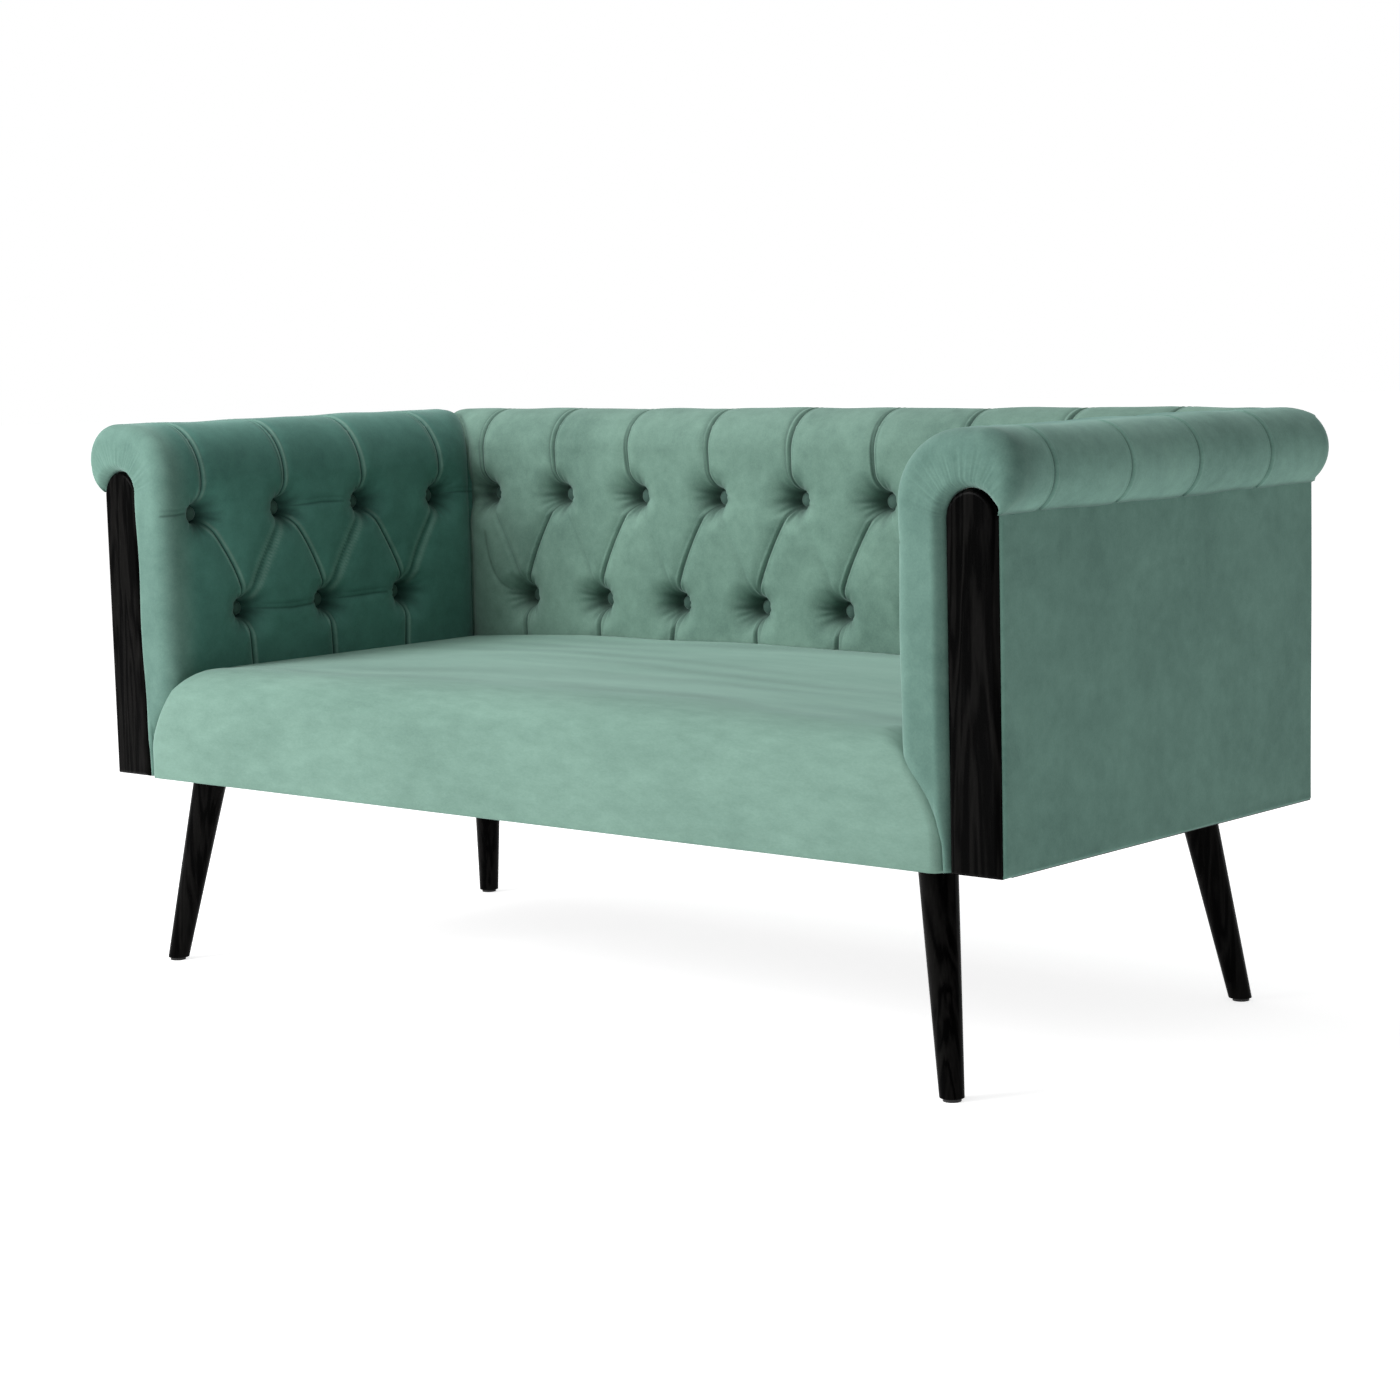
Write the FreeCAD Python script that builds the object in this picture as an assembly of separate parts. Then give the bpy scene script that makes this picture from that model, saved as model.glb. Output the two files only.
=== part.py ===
import FreeCAD, Part
import math
import os

os.makedirs("parts", exist_ok=True)

# A two-seat chesterfield settee in millimetres. X runs along the seat, Y to the rear and Z up
# from the floor. The origin is on the floor at the middle of the overall outline.

# Overall form
body_width = 1504.0
body_depth = 658.0
overall_height = 740.0
underside_height = 258.0
roll_overhang = 26.0
roll_radius = 49.0
border_bulge = 8.0
roll_corner_radius = 45.0

# Thickness of the arms and back, from the crown of the tufting to the outer cover
arm_thickness = 137.0
back_thickness = 83.0
arm_inner_radius = 80.0
back_inner_radius = 58.0

# Layers behind the tufted covers
cover_layer = 29.0
foam_layer = 20.0
board_layer = 5.0
roll_foam_layer = 19.0
outer_board_thickness = 3.0
outer_cover_thickness = 2.0
soft_gap = 0.3

# Deep buttoning
tuft_depth = 40.0
tuft_reach = 52.0
crease_depth = 15.0
crease_reach = 40.0
pleat_depth = 9.0
pleat_reach = 22.0
pleat_stop = 25.0
top_row_drop = 124.0
arm_row_step = 136.0
back_row_step = 150.0
arm_pitch = 150.0
back_pitch = 147.0
arm_first_button = 76.0
arm_corner_room = 40.0
back_corner_room = 20.0
tuck_height = 340.0

# Buttons and ties
button_radius = 11.0
button_rim = 3.0
button_dome = 5.0
button_well = 12.5
tie_radius = 1.0
tie_hole = 2.5
toggle_size = (18.0, 5.0, 4.0)

# Arm fronts
border_thickness = 30.0
border_round = 24.0
facing_width = 66.0
facing_inset = 4.0
facing_drop = 64.0
facing_thickness = 18.0
facing_round = 6.0
facing_gap = 0.5

# Seat
seat_edge_height = 404.0
seat_crown_height = 428.0
seat_facing_gap = 8.0
seat_front_advance = 5.0
seat_front_round = 62.0
seat_shoulder_width = 44.0
seat_shoulder_height = 62.0
seat_skin = 4.0
seat_rear_gap = 2.0

# Timber frame
rail_thickness = 25.0
rail_rise = 2.0
rail_tuck_gap = 10.0
post_depth = 30.0
front_lip_foam = 12.0
top_rail_height = 40.0
tuck_rail_rise = 10.0
tuck_rail_height = 35.0
arm_rail_width = 45.0
upright_width = 45.0
upright_share = 1.75
corner_block_size = 95.0
corner_block_drop = 30.0

# Webbing, deck cloth and dust cover
web_thickness = 2.0
web_width = 60.0
web_count = 8
cross_web_count = 3
deck_thickness = 1.4
dust_thickness = 1.4

# Legs
leg_inset_x = 131.0
leg_inset_y = 62.0
leg_splay_x = 43.0
leg_splay_y = 38.0
leg_top_radius = 23.0
leg_foot_radius = 14.0
glide_radius = 10.5
glide_height = 4.0
glide_pin_radius = 1.5
glide_pin_length = 16.0
bolt_radius = 4.0
bolt_gap = 0.15
bolt_in_leg = 50.0
bolt_in_block = 30.0
insert_radius = 6.0
insert_length = 24.0

# Places that follow from the sizes above
overall_depth = border_bulge + body_depth + roll_overhang
border_front = -overall_depth / 2
facing_front = border_front + border_bulge
rear_face = facing_front + body_depth
outer_face = body_width / 2
arm_crown = outer_face - arm_thickness
back_crown = rear_face - back_thickness
arm_roll = arm_thickness + roll_overhang
back_roll = back_thickness + roll_overhang
roll_under = overall_height - roll_radius - math.sqrt(roll_radius ** 2 - (roll_radius - roll_overhang) ** 2)
board_depth = cover_layer + foam_layer
frame_depth = board_depth + board_layer
roll_foam_top = overall_height - cover_layer
frame_top = roll_foam_top - roll_foam_layer
top_row_height = overall_height - top_row_drop
arm_low_row_height = top_row_height - arm_row_step
back_low_row_height = top_row_height - back_row_step
facing_top = overall_height - facing_drop
rail_bottom = underside_height + rail_rise
rail_top = tuck_height - rail_tuck_gap
tuck_rail_bottom = tuck_height + tuck_rail_rise
tuck_rail_top = tuck_rail_bottom + tuck_rail_height
corner_block_height = rail_top - rail_bottom - corner_block_drop
border_rear = border_front + border_thickness
post_front = facing_front + facing_thickness
post_rear = post_front + post_depth
frame_rear = rear_face - outer_cover_thickness - outer_board_thickness
back_frame_front = back_crown + frame_depth
frame_outer = outer_face - outer_cover_thickness - outer_board_thickness
frame_inner = arm_crown + frame_depth
seat_front = facing_front - seat_front_advance
seat_front_half_width = outer_face - facing_inset - facing_width - seat_facing_gap
wing_rear = post_front - soft_gap
front_rail_front = seat_front + seat_skin + front_lip_foam
front_rail_rear = front_rail_front + rail_thickness
seat_rear = back_crown - seat_rear_gap
cross_web_bottom = rail_top + web_thickness + soft_gap
deck_bottom = cross_web_bottom + web_thickness + soft_gap
seat_foam_bottom = deck_bottom + deck_thickness + soft_gap
corner_slope = back_roll / arm_roll
rear_inner = arm_crown + board_depth / corner_slope + soft_gap * 2
notch_front = back_crown + board_depth * corner_slope - soft_gap * 4


def vector(x, y, z):
    return FreeCAD.Vector(x, y, z)


def block(low, high):
    """Square-edged block between two opposite corners."""
    size = [b - a for a, b in zip(low, high)]
    return Part.makeBox(size[0], size[1], size[2], vector(*low))


def rod(start, direction, length, radius):
    """Round bar from a point along a direction."""
    return Part.makeCylinder(radius, length, start, direction)


def mirrored(shape):
    """The same piece on the other side of the settee."""
    return shape.mirror(vector(0, 0, 0), vector(1, 0, 0))


def group(solids):
    return Part.makeCompound(solids)


def save(name, shape):
    """Check a piece and write it under its own name."""
    if not shape.isValid():
        raise ValueError(name + " is not a valid solid")
    shape.exportStep("parts/" + name + ".step")
    print(name, len(shape.Solids), round(shape.Volume))


def save_pair(name, right_shape):
    """Write a right-hand piece and its mirror image."""
    save("right_" + name, right_shape)
    save("left_" + name, mirrored(right_shape))


def settle_arm(shape):
    """Move a panel from its own axes, depth, run and height, to the right arm."""
    shape.translate(vector(arm_crown, 0, 0))
    return shape


def settle_back(shape):
    """Turn a panel from its own axes, depth, run and height, to the back."""
    shape.rotate(vector(0, 0, 0), vector(0, 0, 1), 90)
    shape.translate(vector(0, back_crown, 0))
    return shape


def spread_places(count, pitch, middle):
    """Evenly pitched places about a middle."""
    return [middle + (index - (count - 1) / 2) * pitch for index in range(count)]


def prism(points, travel):
    """Solid of a flat outline pushed along a vector."""
    corners = [vector(*point) for point in points]
    return Part.Face(Part.makePolygon(corners + corners[:1])).extrude(vector(*travel))


def corner_waste(run, slope):
    """What lies past the slanting corner joint of a panel, in its own axes."""
    reach = 300.0
    far = run + reach * 2
    if run < 0:
        far = run - reach * 2
    near = [(-reach, run - reach * slope, 0), (reach, run + reach * slope, 0)]
    return prism(near + [(reach, far, 0), (-reach, far, 0)], (0, 0, overall_height + 10))


def arc(points):
    """Arc through three points."""
    return Part.Arc(*[vector(*point) for point in points]).toShape()


def line(first, second):
    return Part.makeLine(vector(*first), vector(*second))


def cover_outline(thickness, inner_radius, roll):
    """Section of a tufted cover: up the inside, over the roll and under it, then back along its layers."""
    top = overall_height
    middle = roll - roll_radius
    half = math.sqrt(0.5)
    under = math.acos((roll_radius - roll_overhang) / roll_radius)
    turn = (math.pi / 2 - under) / 2
    slant = inner_radius * 0.45
    inner_mid = (inner_radius * (1 - half), 0, top - inner_radius * (1 - half))
    roll_mid = (middle + roll_radius * math.cos(turn), 0, top - roll_radius * (1 - math.sin(turn)))
    backing = [
        (thickness, 0, roll_under),
        (thickness, 0, roll_foam_top),
        (cover_layer + slant, 0, roll_foam_top),
        (cover_layer, 0, roll_foam_top - slant),
        (cover_layer, 0, tuck_height),
        (0, 0, tuck_height),
    ]
    edges = [
        line((0, 0, tuck_height), (0, 0, top - inner_radius)),
        arc([(0, 0, top - inner_radius), inner_mid, (inner_radius, 0, top)]),
        line((inner_radius, 0, top), (middle, 0, top)),
        arc([(middle, 0, top), roll_mid, (thickness, 0, roll_under)]),
    ]
    edges += [line(a, b) for a, b in zip(backing[:-1], backing[1:])]
    return Part.Face(Part.Wire(edges))


def foam_outline(thickness, inner_radius):
    """Section of the foam slab behind a tufted cover, turned over the top rail."""
    slant = inner_radius * 0.45
    inside = cover_layer + soft_gap
    back = board_depth - soft_gap
    top = roll_foam_top - soft_gap
    outside = thickness - soft_gap
    under = frame_top + soft_gap
    points = [
        (inside, tuck_height),
        (inside, top - slant),
        (inside + slant, top),
        (outside, top),
        (outside, under),
        (back, under),
        (back, tuck_height),
    ]
    corners = [vector(depth, 0, height) for depth, height in points]
    return Part.Face(Part.makePolygon(corners + corners[:1]))


def run_of(face, start, end):
    """Push a panel section along its run."""
    face.translate(vector(0, start, 0))
    return face.extrude(vector(0, end - start, 0))


def tuft_pit(run, height):
    """Hollow drawn in by a button: pillow-round at the surface, narrowing to the button's flat seat."""
    lip = 1.5
    half = math.sqrt(0.5)
    radius = tuft_reach - button_well
    bend = (tuft_depth * (1 - half), tuft_reach - radius * half, 0)
    edges = [
        line((-lip, 0, 0), (-lip, tuft_reach + 2 * lip, 0)),
        arc([(-lip, tuft_reach + 2 * lip, 0), bend, (tuft_depth, button_well, 0)]),
        line((tuft_depth, button_well, 0), (tuft_depth, 0, 0)),
        line((tuft_depth, 0, 0), (-lip, 0, 0)),
    ]
    pit = Part.Face(Part.Wire(edges)).revolve(vector(0, 0, 0), vector(1, 0, 0), 360)
    pit.translate(vector(0, run, height))
    return pit


def crease(first, second):
    """Fold between two buttons: two pillow-round flanks meeting in a line."""
    lip = 1.5
    quarter = (crease_depth * 0.27, crease_reach * 0.45)
    edges = [
        line((-lip, crease_reach, 0), (-lip, -crease_reach, 0)),
        arc([(-lip, -crease_reach, 0), (quarter[0], -quarter[1], 0), (crease_depth, 0, 0)]),
        arc([(crease_depth, 0, 0), (quarter[0], quarter[1], 0), (-lip, crease_reach, 0)]),
    ]
    across_run = second[0] - first[0]
    rise = second[1] - first[1]
    fold = Part.Face(Part.Wire(edges)).extrude(vector(0, 0, math.hypot(across_run, rise)))
    fold.rotate(vector(0, 0, 0), vector(1, 0, 0), -math.degrees(math.atan2(across_run, rise)))
    fold.translate(vector(0, first[0], first[1]))
    return fold


def pleat_section():
    """Sharp fold across the run, at the crown of the panel."""
    lip = 1.5
    points = [vector(-lip, pleat_reach, 0), vector(-lip, -pleat_reach, 0), vector(pleat_depth, 0, 0)]
    return Part.Face(Part.makePolygon(points + points[:1]))


def upright_pleat(run, low, high):
    """Straight fold up the inside of a panel."""
    section = pleat_section()
    section.translate(vector(0, run, low))
    return section.extrude(vector(0, 0, high - low))


def roll_pleats(run, inner_radius, roll):
    """Fold from a top button, up the inside, over the roll and part of the way under it."""
    spring = overall_height - inner_radius
    inner = pleat_section()
    inner.translate(vector(0, run, spring))
    inner = inner.revolve(vector(inner_radius, run, spring), vector(0, 1, 0), 90)
    crown = pleat_section()
    crown.rotate(vector(0, 0, 0), vector(0, 1, 0), 90)
    crown.translate(vector(inner_radius, run, overall_height))
    middle = roll - roll_radius
    flat = crown.extrude(vector(middle - inner_radius, 0, 0))
    crown.translate(vector(middle - inner_radius, 0, 0))
    under = math.degrees(math.acos((roll_radius - roll_overhang) / roll_radius))
    hub = vector(middle, run, overall_height - roll_radius)
    outer = crown.revolve(hub, vector(0, 1, 0), 90 + under - pleat_stop)
    return [upright_pleat(run, top_row_height, spring), inner, flat, outer]


def row_points(top_row, low_row, low_height):
    """Run and height of every button of a panel."""
    return [(run, top_row_height) for run in top_row] + [(run, low_height) for run in low_row]


def through(point, near, far, radius):
    """Round bar through the layers of a panel, between two depths."""
    return rod(vector(near, *point), vector(1, 0, 0), far - near, radius)


def button(point):
    """Covered button: a thin rim with a domed face, seated at the bottom of its hollow."""
    base = tuft_depth - soft_gap
    rim = through(point, base - button_rim, base, button_radius)
    dome_radius = (button_radius ** 2 + button_dome ** 2) / (2 * button_dome)
    ball = Part.makeSphere(dome_radius, vector(base - button_rim - button_dome + dome_radius, *point))
    face = through(point, base - button_rim - button_dome, base - button_rim, button_radius)
    return rim.fuse(ball.common(face)).removeSplitter()


def button_tie(point):
    """Twine from a button through the board, ending in a toggle behind it."""
    twine = through(point, tuft_depth, frame_depth, tie_radius)
    long, wide, thick = toggle_size
    run, height = point
    toggle = block(
        (frame_depth, run - long / 2, height - wide / 2),
        (frame_depth + thick, run + long / 2, height + wide / 2))
    return twine.fuse(toggle).removeSplitter()


def panel_pieces(rows, pitch, sizes, span, waste):
    """Tufted cover, foam, buttons and ties of one panel, in its own axes.

    The cover is a rolled section with a hollow at every button. Folds join each low button to the
    top buttons beside it, run down from it to the seat and run from each top button over the roll.
    """
    top_row, low_row, low_height = rows
    thickness, inner_radius, roll = sizes
    points = row_points(top_row, low_row, low_height)
    cover = run_of(cover_outline(thickness, inner_radius, roll), *span).cut(waste)
    necks = [through(point, cover_layer - 3, board_depth - 1, button_well + 2) for point in points]
    folds = [tuft_pit(*point) for point in points]
    for low_run in low_row:
        folds.append(upright_pleat(low_run, tuck_height - 5, low_height))
        for top_run in top_row:
            if abs(abs(top_run - low_run) - pitch / 2) < pitch / 8:
                folds.append(crease((low_run, low_height), (top_run, top_row_height)))
    for top_run in top_row:
        folds += roll_pleats(top_run, inner_radius, roll)
    eyes = [through(point, tuft_depth - 1, board_depth, tie_hole) for point in points]
    cover = cover.fuse(necks).cut(folds).cut(eyes)
    punched = [through(point, cover_layer, board_depth, button_well + 2 + soft_gap) for point in points]
    foam = run_of(foam_outline(thickness, inner_radius), *span).cut(waste).cut(punched)
    buttons = group([button(point) for point in points])
    ties = group([button_tie(point) for point in points])
    return cover, foam, buttons, ties


def drilled_board(low, high, points):
    """Tufting board in the axes of its panel, with a hole for each tie."""
    holes = [through(point, board_depth - 1, frame_depth + 1, tie_hole) for point in points]
    return block(low, high).cut(holes)


def rounded_plan():
    """Upright block of the overall plan, its rear corners rounded as the roll turns them."""
    half = outer_face + roll_overhang
    rear = overall_depth / 2
    plan = block((-half, border_front, tuck_height - 1), (half, rear, overall_height + 1))
    corners = [
        edge for edge in plan.Edges
        if edge.BoundBox.ZLength > 1 and abs(edge.CenterOfMass.y - rear) < 1
    ]
    return plan.makeFillet(roll_corner_radius, corners)


# Buttons of the arms run from the front border, those of the back spread about the middle, as many as fit
arm_button_run = back_crown - arm_corner_room - border_front - arm_first_button
arm_top_count = 1 + math.floor(arm_button_run / arm_pitch)
back_top_count = 1 + math.floor(2 * (arm_crown - back_corner_room) / back_pitch)
arm_top_row = [border_front + arm_first_button + arm_pitch * index for index in range(arm_top_count)]
arm_low_row = [run + arm_pitch / 2 for run in arm_top_row[:-1]]
back_top_row = spread_places(back_top_count, back_pitch, 0.0)
back_low_row = spread_places(back_top_count - 1, back_pitch, 0.0)
arm_rows = (arm_top_row, arm_low_row, arm_low_row_height)
back_rows = (back_top_row, back_low_row, back_low_row_height)
outline_block = rounded_plan()

# Arms: tufted cover, foam, buttons and ties
arm_sizes = (arm_thickness, arm_inner_radius, arm_roll)
arm_span = (border_rear + soft_gap, overall_depth / 2)
arm_waste = [corner_waste(back_crown - soft_gap, corner_slope)]
arm_cover, arm_foam, arm_buttons, arm_ties = panel_pieces(arm_rows, arm_pitch, arm_sizes, arm_span, arm_waste)
save_pair("arm_tufted_cover", settle_arm(arm_cover).common(outline_block))
save_pair("arm_foam", settle_arm(arm_foam))
save_pair("arm_buttons", settle_arm(arm_buttons))
save_pair("arm_button_ties", settle_arm(arm_ties))

# Back: the same layers between the two arms
back_sizes = (back_thickness, back_inner_radius, back_roll)
back_span = (-outer_face - roll_overhang, outer_face + roll_overhang)
back_waste = [
    corner_waste(arm_crown - soft_gap, 1 / corner_slope),
    corner_waste(soft_gap - arm_crown, -1 / corner_slope),
]
back_cover, back_foam, back_buttons, back_ties = panel_pieces(
    back_rows, back_pitch, back_sizes, back_span, back_waste)
save("back_tufted_cover", settle_back(back_cover).common(outline_block))
save("back_foam", settle_back(back_foam))
save("back_buttons", settle_back(back_buttons))
save("back_button_ties", settle_back(back_ties))

# Tufting boards, drilled for every tie
arm_board = drilled_board(
    (board_depth, border_rear + soft_gap, tuck_height),
    (frame_depth, notch_front, frame_top), row_points(*arm_rows))
save_pair("arm_tufting_board", settle_arm(arm_board))
back_board_half = rear_inner - soft_gap
back_board = drilled_board(
    (board_depth, -back_board_half, tuck_height),
    (frame_depth, back_board_half, frame_top), row_points(*back_rows))
save("back_tufting_board", settle_back(back_board))


def facing_outline(grow):
    """Face of the arm facing on its front plane: square foot, arched head, grown all round if asked."""
    outer = outer_face - facing_inset + grow
    inner = outer_face - facing_inset - facing_width - grow
    radius = (outer - inner) / 2
    middle = (outer + inner) / 2
    spring = facing_top - facing_width / 2
    foot = underside_height
    feet = [vector(inner, 0, foot), vector(outer, 0, foot)]
    heads = [vector(outer, 0, spring), vector(inner, 0, spring)]
    crown = vector(middle, 0, spring + radius)
    edges = [
        Part.makeLine(feet[0], feet[1]),
        Part.makeLine(feet[1], heads[0]),
        Part.Arc(heads[0], crown, heads[1]).toShape(),
        Part.makeLine(heads[1], feet[0]),
    ]
    return Part.Face(Part.Wire(edges))


def facing_prism(grow, front, rear):
    """Facing outline pushed between two planes."""
    face = facing_outline(grow)
    face.translate(vector(0, front, 0))
    return face.extrude(vector(0, rear - front, 0))


def screw_places():
    """Heights of the screws that hold a facing."""
    low = underside_height + facing_width
    high = facing_top - facing_width
    return [low, (low + high) / 2, high]


facing_middle = outer_face - facing_inset - facing_width / 2
screw_radius = 2.2
screw_head_radius = 4.2
screw_head = 3.0
screw_bite = 10.0


def facing_screw(height):
    """Screw driven from behind the post into the facing."""
    tip = vector(facing_middle, post_front - screw_bite, height)
    shank = rod(tip, vector(0, 1, 0), screw_bite + post_depth - screw_head, screw_radius)
    head_start = vector(facing_middle, post_rear - screw_head, height)
    return shank.fuse(rod(head_start, vector(0, 1, 0), screw_head, screw_head_radius)).removeSplitter()


def screw_hole(height):
    """Room for a facing screw in the post and the facing."""
    tip = vector(facing_middle, post_front - screw_bite - bolt_gap, height)
    shank = rod(tip, vector(0, 1, 0), screw_bite + post_depth, screw_radius + bolt_gap)
    head_start = vector(facing_middle, post_rear - screw_head - bolt_gap, height)
    return shank.fuse(rod(head_start, vector(0, 1, 0), screw_head + 1, screw_head_radius + bolt_gap))


# Arm facings: black wood with a rounded front edge, screwed to the front posts
facing = facing_prism(0.0, facing_front, post_front)
front_edges = [edge for edge in facing.Edges if edge.BoundBox.YMax < facing_front + 0.01]
facing = facing.makeFillet(facing_round, front_edges)
screw_holes = [screw_hole(height) for height in screw_places()]
save_pair("arm_facing", facing.cut(screw_holes))
right_screws = [facing_screw(height) for height in screw_places()]
save("facing_screws", group(right_screws + [mirrored(screw) for screw in right_screws]))


def seat_section(inset):
    """Front view of the seat: flat foot, straight ends, rounded shoulders and a crowned top."""
    half = seat_front_half_width - inset
    shoulder = seat_edge_height - seat_shoulder_height
    inner = half - seat_shoulder_width
    edge = seat_edge_height - inset
    crown = seat_crown_height - inset
    foot = underside_height
    bend = (half - seat_shoulder_width * 0.29, shoulder + (edge - shoulder) * 0.71)
    right = [vector(half, 0, foot), vector(half, 0, shoulder), vector(inner, 0, edge)]
    left = [vector(-point.x, 0, point.z) for point in right]
    edges = [
        Part.makeLine(left[0], right[0]),
        Part.makeLine(right[0], right[1]),
        Part.Arc(right[1], vector(bend[0], 0, bend[1]), right[2]).toShape(),
        Part.Arc(right[2], vector(0, 0, crown), left[2]).toShape(),
        Part.Arc(left[2], vector(-bend[0], 0, bend[1]), left[1]).toShape(),
        Part.makeLine(left[1], left[0]),
    ]
    return Part.Face(Part.Wire(edges))


def seat_side(inset):
    """Side view of the seat: upright front, rounded top edge, level to the rear."""
    front = seat_front + inset
    top = seat_crown_height + 2 - inset
    rear = seat_rear - inset
    turn = seat_front_round - inset
    middle = turn * (1 - math.sqrt(0.5))
    edges = [
        Part.makeLine(vector(0, front, underside_height), vector(0, front, top - turn)),
        Part.Arc(
            vector(0, front, top - turn),
            vector(0, front + middle, top - middle),
            vector(0, front + turn, top)).toShape(),
        Part.makeLine(vector(0, front + turn, top), vector(0, rear, top)),
        Part.makeLine(vector(0, rear, top), vector(0, rear, underside_height)),
        Part.makeLine(vector(0, rear, underside_height), vector(0, front, underside_height)),
    ]
    return Part.Face(Part.Wire(edges))


def seat_form(inset):
    """Whole seat body: the two views crossed, then narrowed between the arms behind its front wings."""
    section = seat_section(inset)
    section.translate(vector(0, seat_front - 10, 0))
    along = section.extrude(vector(0, seat_rear - seat_front + 20, 0))
    side = seat_side(inset)
    side.translate(vector(-seat_front_half_width - 10, 0, 0))
    crossing = side.extrude(vector(2 * seat_front_half_width + 20, 0, 0))
    form = along.common(crossing)
    inner = arm_crown - soft_gap * 2 - inset
    outer = seat_front_half_width + 20
    pocket = block((inner, wing_rear, 0), (outer, seat_rear + 20, overall_height))
    return form.cut([pocket, mirrored(pocket)])


# Seat: a velvet skin over foam, stretched from under the front to the back
seat_body = seat_form(0.0)
seat_core = seat_form(seat_skin)
under_deck = block(
    (-seat_front_half_width - 20, front_rail_front - soft_gap, 0),
    (seat_front_half_width + 20, seat_rear + 20, seat_foam_bottom))
side_room = block(
    (-seat_front_half_width - 20, wing_rear, 0),
    (seat_front_half_width + 20, seat_rear + 20, seat_foam_bottom))
skin_core = seat_core.fuse(block(
    (-seat_front_half_width + seat_skin, seat_front + seat_skin, 0),
    (seat_front_half_width - seat_skin, wing_rear + 1, underside_height + seat_skin))).removeSplitter()
save("seat_cover", seat_body.cut([skin_core, side_room]))
foam_core = seat_form(seat_skin + soft_gap)
foam_foot = block(
    (-seat_front_half_width, seat_front - 1, 0),
    (seat_front_half_width, wing_rear + 1, rail_bottom))
save("seat_foam", foam_core.cut([under_deck, foam_foot]))


def border_outline():
    """Front view of a padded arm front: the roll profile above, straight to the underside below."""
    inner_spring = overall_height - arm_inner_radius
    roll_middle = arm_roll - roll_radius
    tip = math.sqrt(0.5)
    under_angle = math.acos((roll_radius - roll_overhang) / roll_radius)
    half_turn = (math.pi / 2 - under_angle) / 2

    def point(depth, height):
        return vector(arm_crown + depth, border_front, height)

    roll_end = point(arm_thickness, roll_under)
    foot = point(arm_thickness, underside_height)
    heel = point(0.0, underside_height)
    inner_low = point(0.0, inner_spring)
    inner_mid = point(arm_inner_radius * (1 - tip), overall_height - arm_inner_radius * (1 - tip))
    inner_top = point(arm_inner_radius, overall_height)
    outer_top = point(roll_middle, overall_height)
    roll_mid = point(
        roll_middle + roll_radius * math.cos(half_turn),
        overall_height - roll_radius + roll_radius * math.sin(half_turn))
    edges = [
        Part.makeLine(heel, inner_low),
        Part.Arc(inner_low, inner_mid, inner_top).toShape(),
        Part.makeLine(inner_top, outer_top),
        Part.Arc(outer_top, roll_mid, roll_end).toShape(),
        Part.makeLine(roll_end, foot),
        Part.makeLine(foot, heel),
    ]
    return Part.Face(Part.Wire(edges))


# Arm front borders: the padded edge that turns from the inside of the arm to the facing
border = border_outline().extrude(vector(0, border_thickness, 0))


def is_soft_edge(edge):
    """Front edges of the border that are rounded: all but its foot and its straight outer side."""
    box = edge.BoundBox
    foot = box.ZMax < underside_height + 1
    outer_side = box.XMin > outer_face - 1 and box.XMax < outer_face + 1
    return box.YMax < border_front + 0.01 and not foot and not outer_side


border = border.makeFillet(border_round, [edge for edge in border.Edges if is_soft_edge(edge)])
facing_room = facing_prism(facing_gap, border_front - 1, border_rear + 1)
seat_room = seat_section(-soft_gap)
seat_room.translate(vector(0, border_front - 1, 0))
seat_room = seat_room.extrude(vector(0, border_thickness + 2, 0))
post_room = block(
    (frame_inner - soft_gap, post_front - soft_gap, 0),
    (frame_outer + soft_gap, border_rear + 1, frame_top + soft_gap))
outer_step = block(
    (outer_face - facing_inset, border_front - 1, 0),
    (outer_face + 1, facing_front + facing_round, roll_under - 1))
save_pair("arm_front_border", border.cut([facing_room, seat_room, post_room, outer_step]))

# Outer covers and the boards that keep them flat
side_start = border_rear + soft_gap
side_cover = block(
    (outer_face - outer_cover_thickness, side_start, underside_height),
    (outer_face, rear_face, roll_under - soft_gap))
save_pair("outer_cover", side_cover)
side_board = block(
    (frame_outer, side_start, rail_bottom),
    (outer_face - outer_cover_thickness, rear_face - outer_cover_thickness, roll_under - soft_gap))
save_pair("outer_board", side_board)
rear_half = outer_face - outer_cover_thickness - soft_gap
save("rear_outer_cover", block(
    (-rear_half, rear_face - outer_cover_thickness, underside_height),
    (rear_half, rear_face, roll_under - soft_gap)))
board_half = frame_outer - soft_gap
save("rear_outer_board", block(
    (-board_half, frame_rear, rail_bottom),
    (board_half, rear_face - outer_cover_thickness, roll_under - soft_gap)))


def notched_rail(outer, low, high):
    """Arm rail between its posts, notched at the rear inside for the corner of the back."""
    rail = block((frame_inner, post_rear, low), (outer, back_frame_front, high))
    return rail.cut(block((0, notch_front, 0), (rear_inner, rear_face, overall_height)))


# Arm frames
front_post = block((frame_inner, post_front, rail_bottom), (frame_outer, post_rear, frame_top))
save_pair("arm_front_post", front_post.cut(screw_holes))
save_pair("arm_rear_post", block(
    (rear_inner, back_frame_front, rail_bottom), (frame_outer, frame_rear, frame_top)))
save_pair("arm_top_rail", notched_rail(frame_outer, frame_top - top_rail_height, frame_top))
save_pair("arm_tuck_rail", notched_rail(frame_inner + arm_rail_width, tuck_rail_bottom, tuck_rail_top))

# Bolts that join each arm to the seat box
arm_bolt_radius = 4.0
arm_bolt_head = 5.3
arm_bolt_head_radius = 7.0
arm_bolt_height = (rail_bottom + rail_top) / 2
arm_bolt_runs = spread_places(2, body_depth / 2, 0.0)
bolt_reach = 2 * rail_thickness


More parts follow.
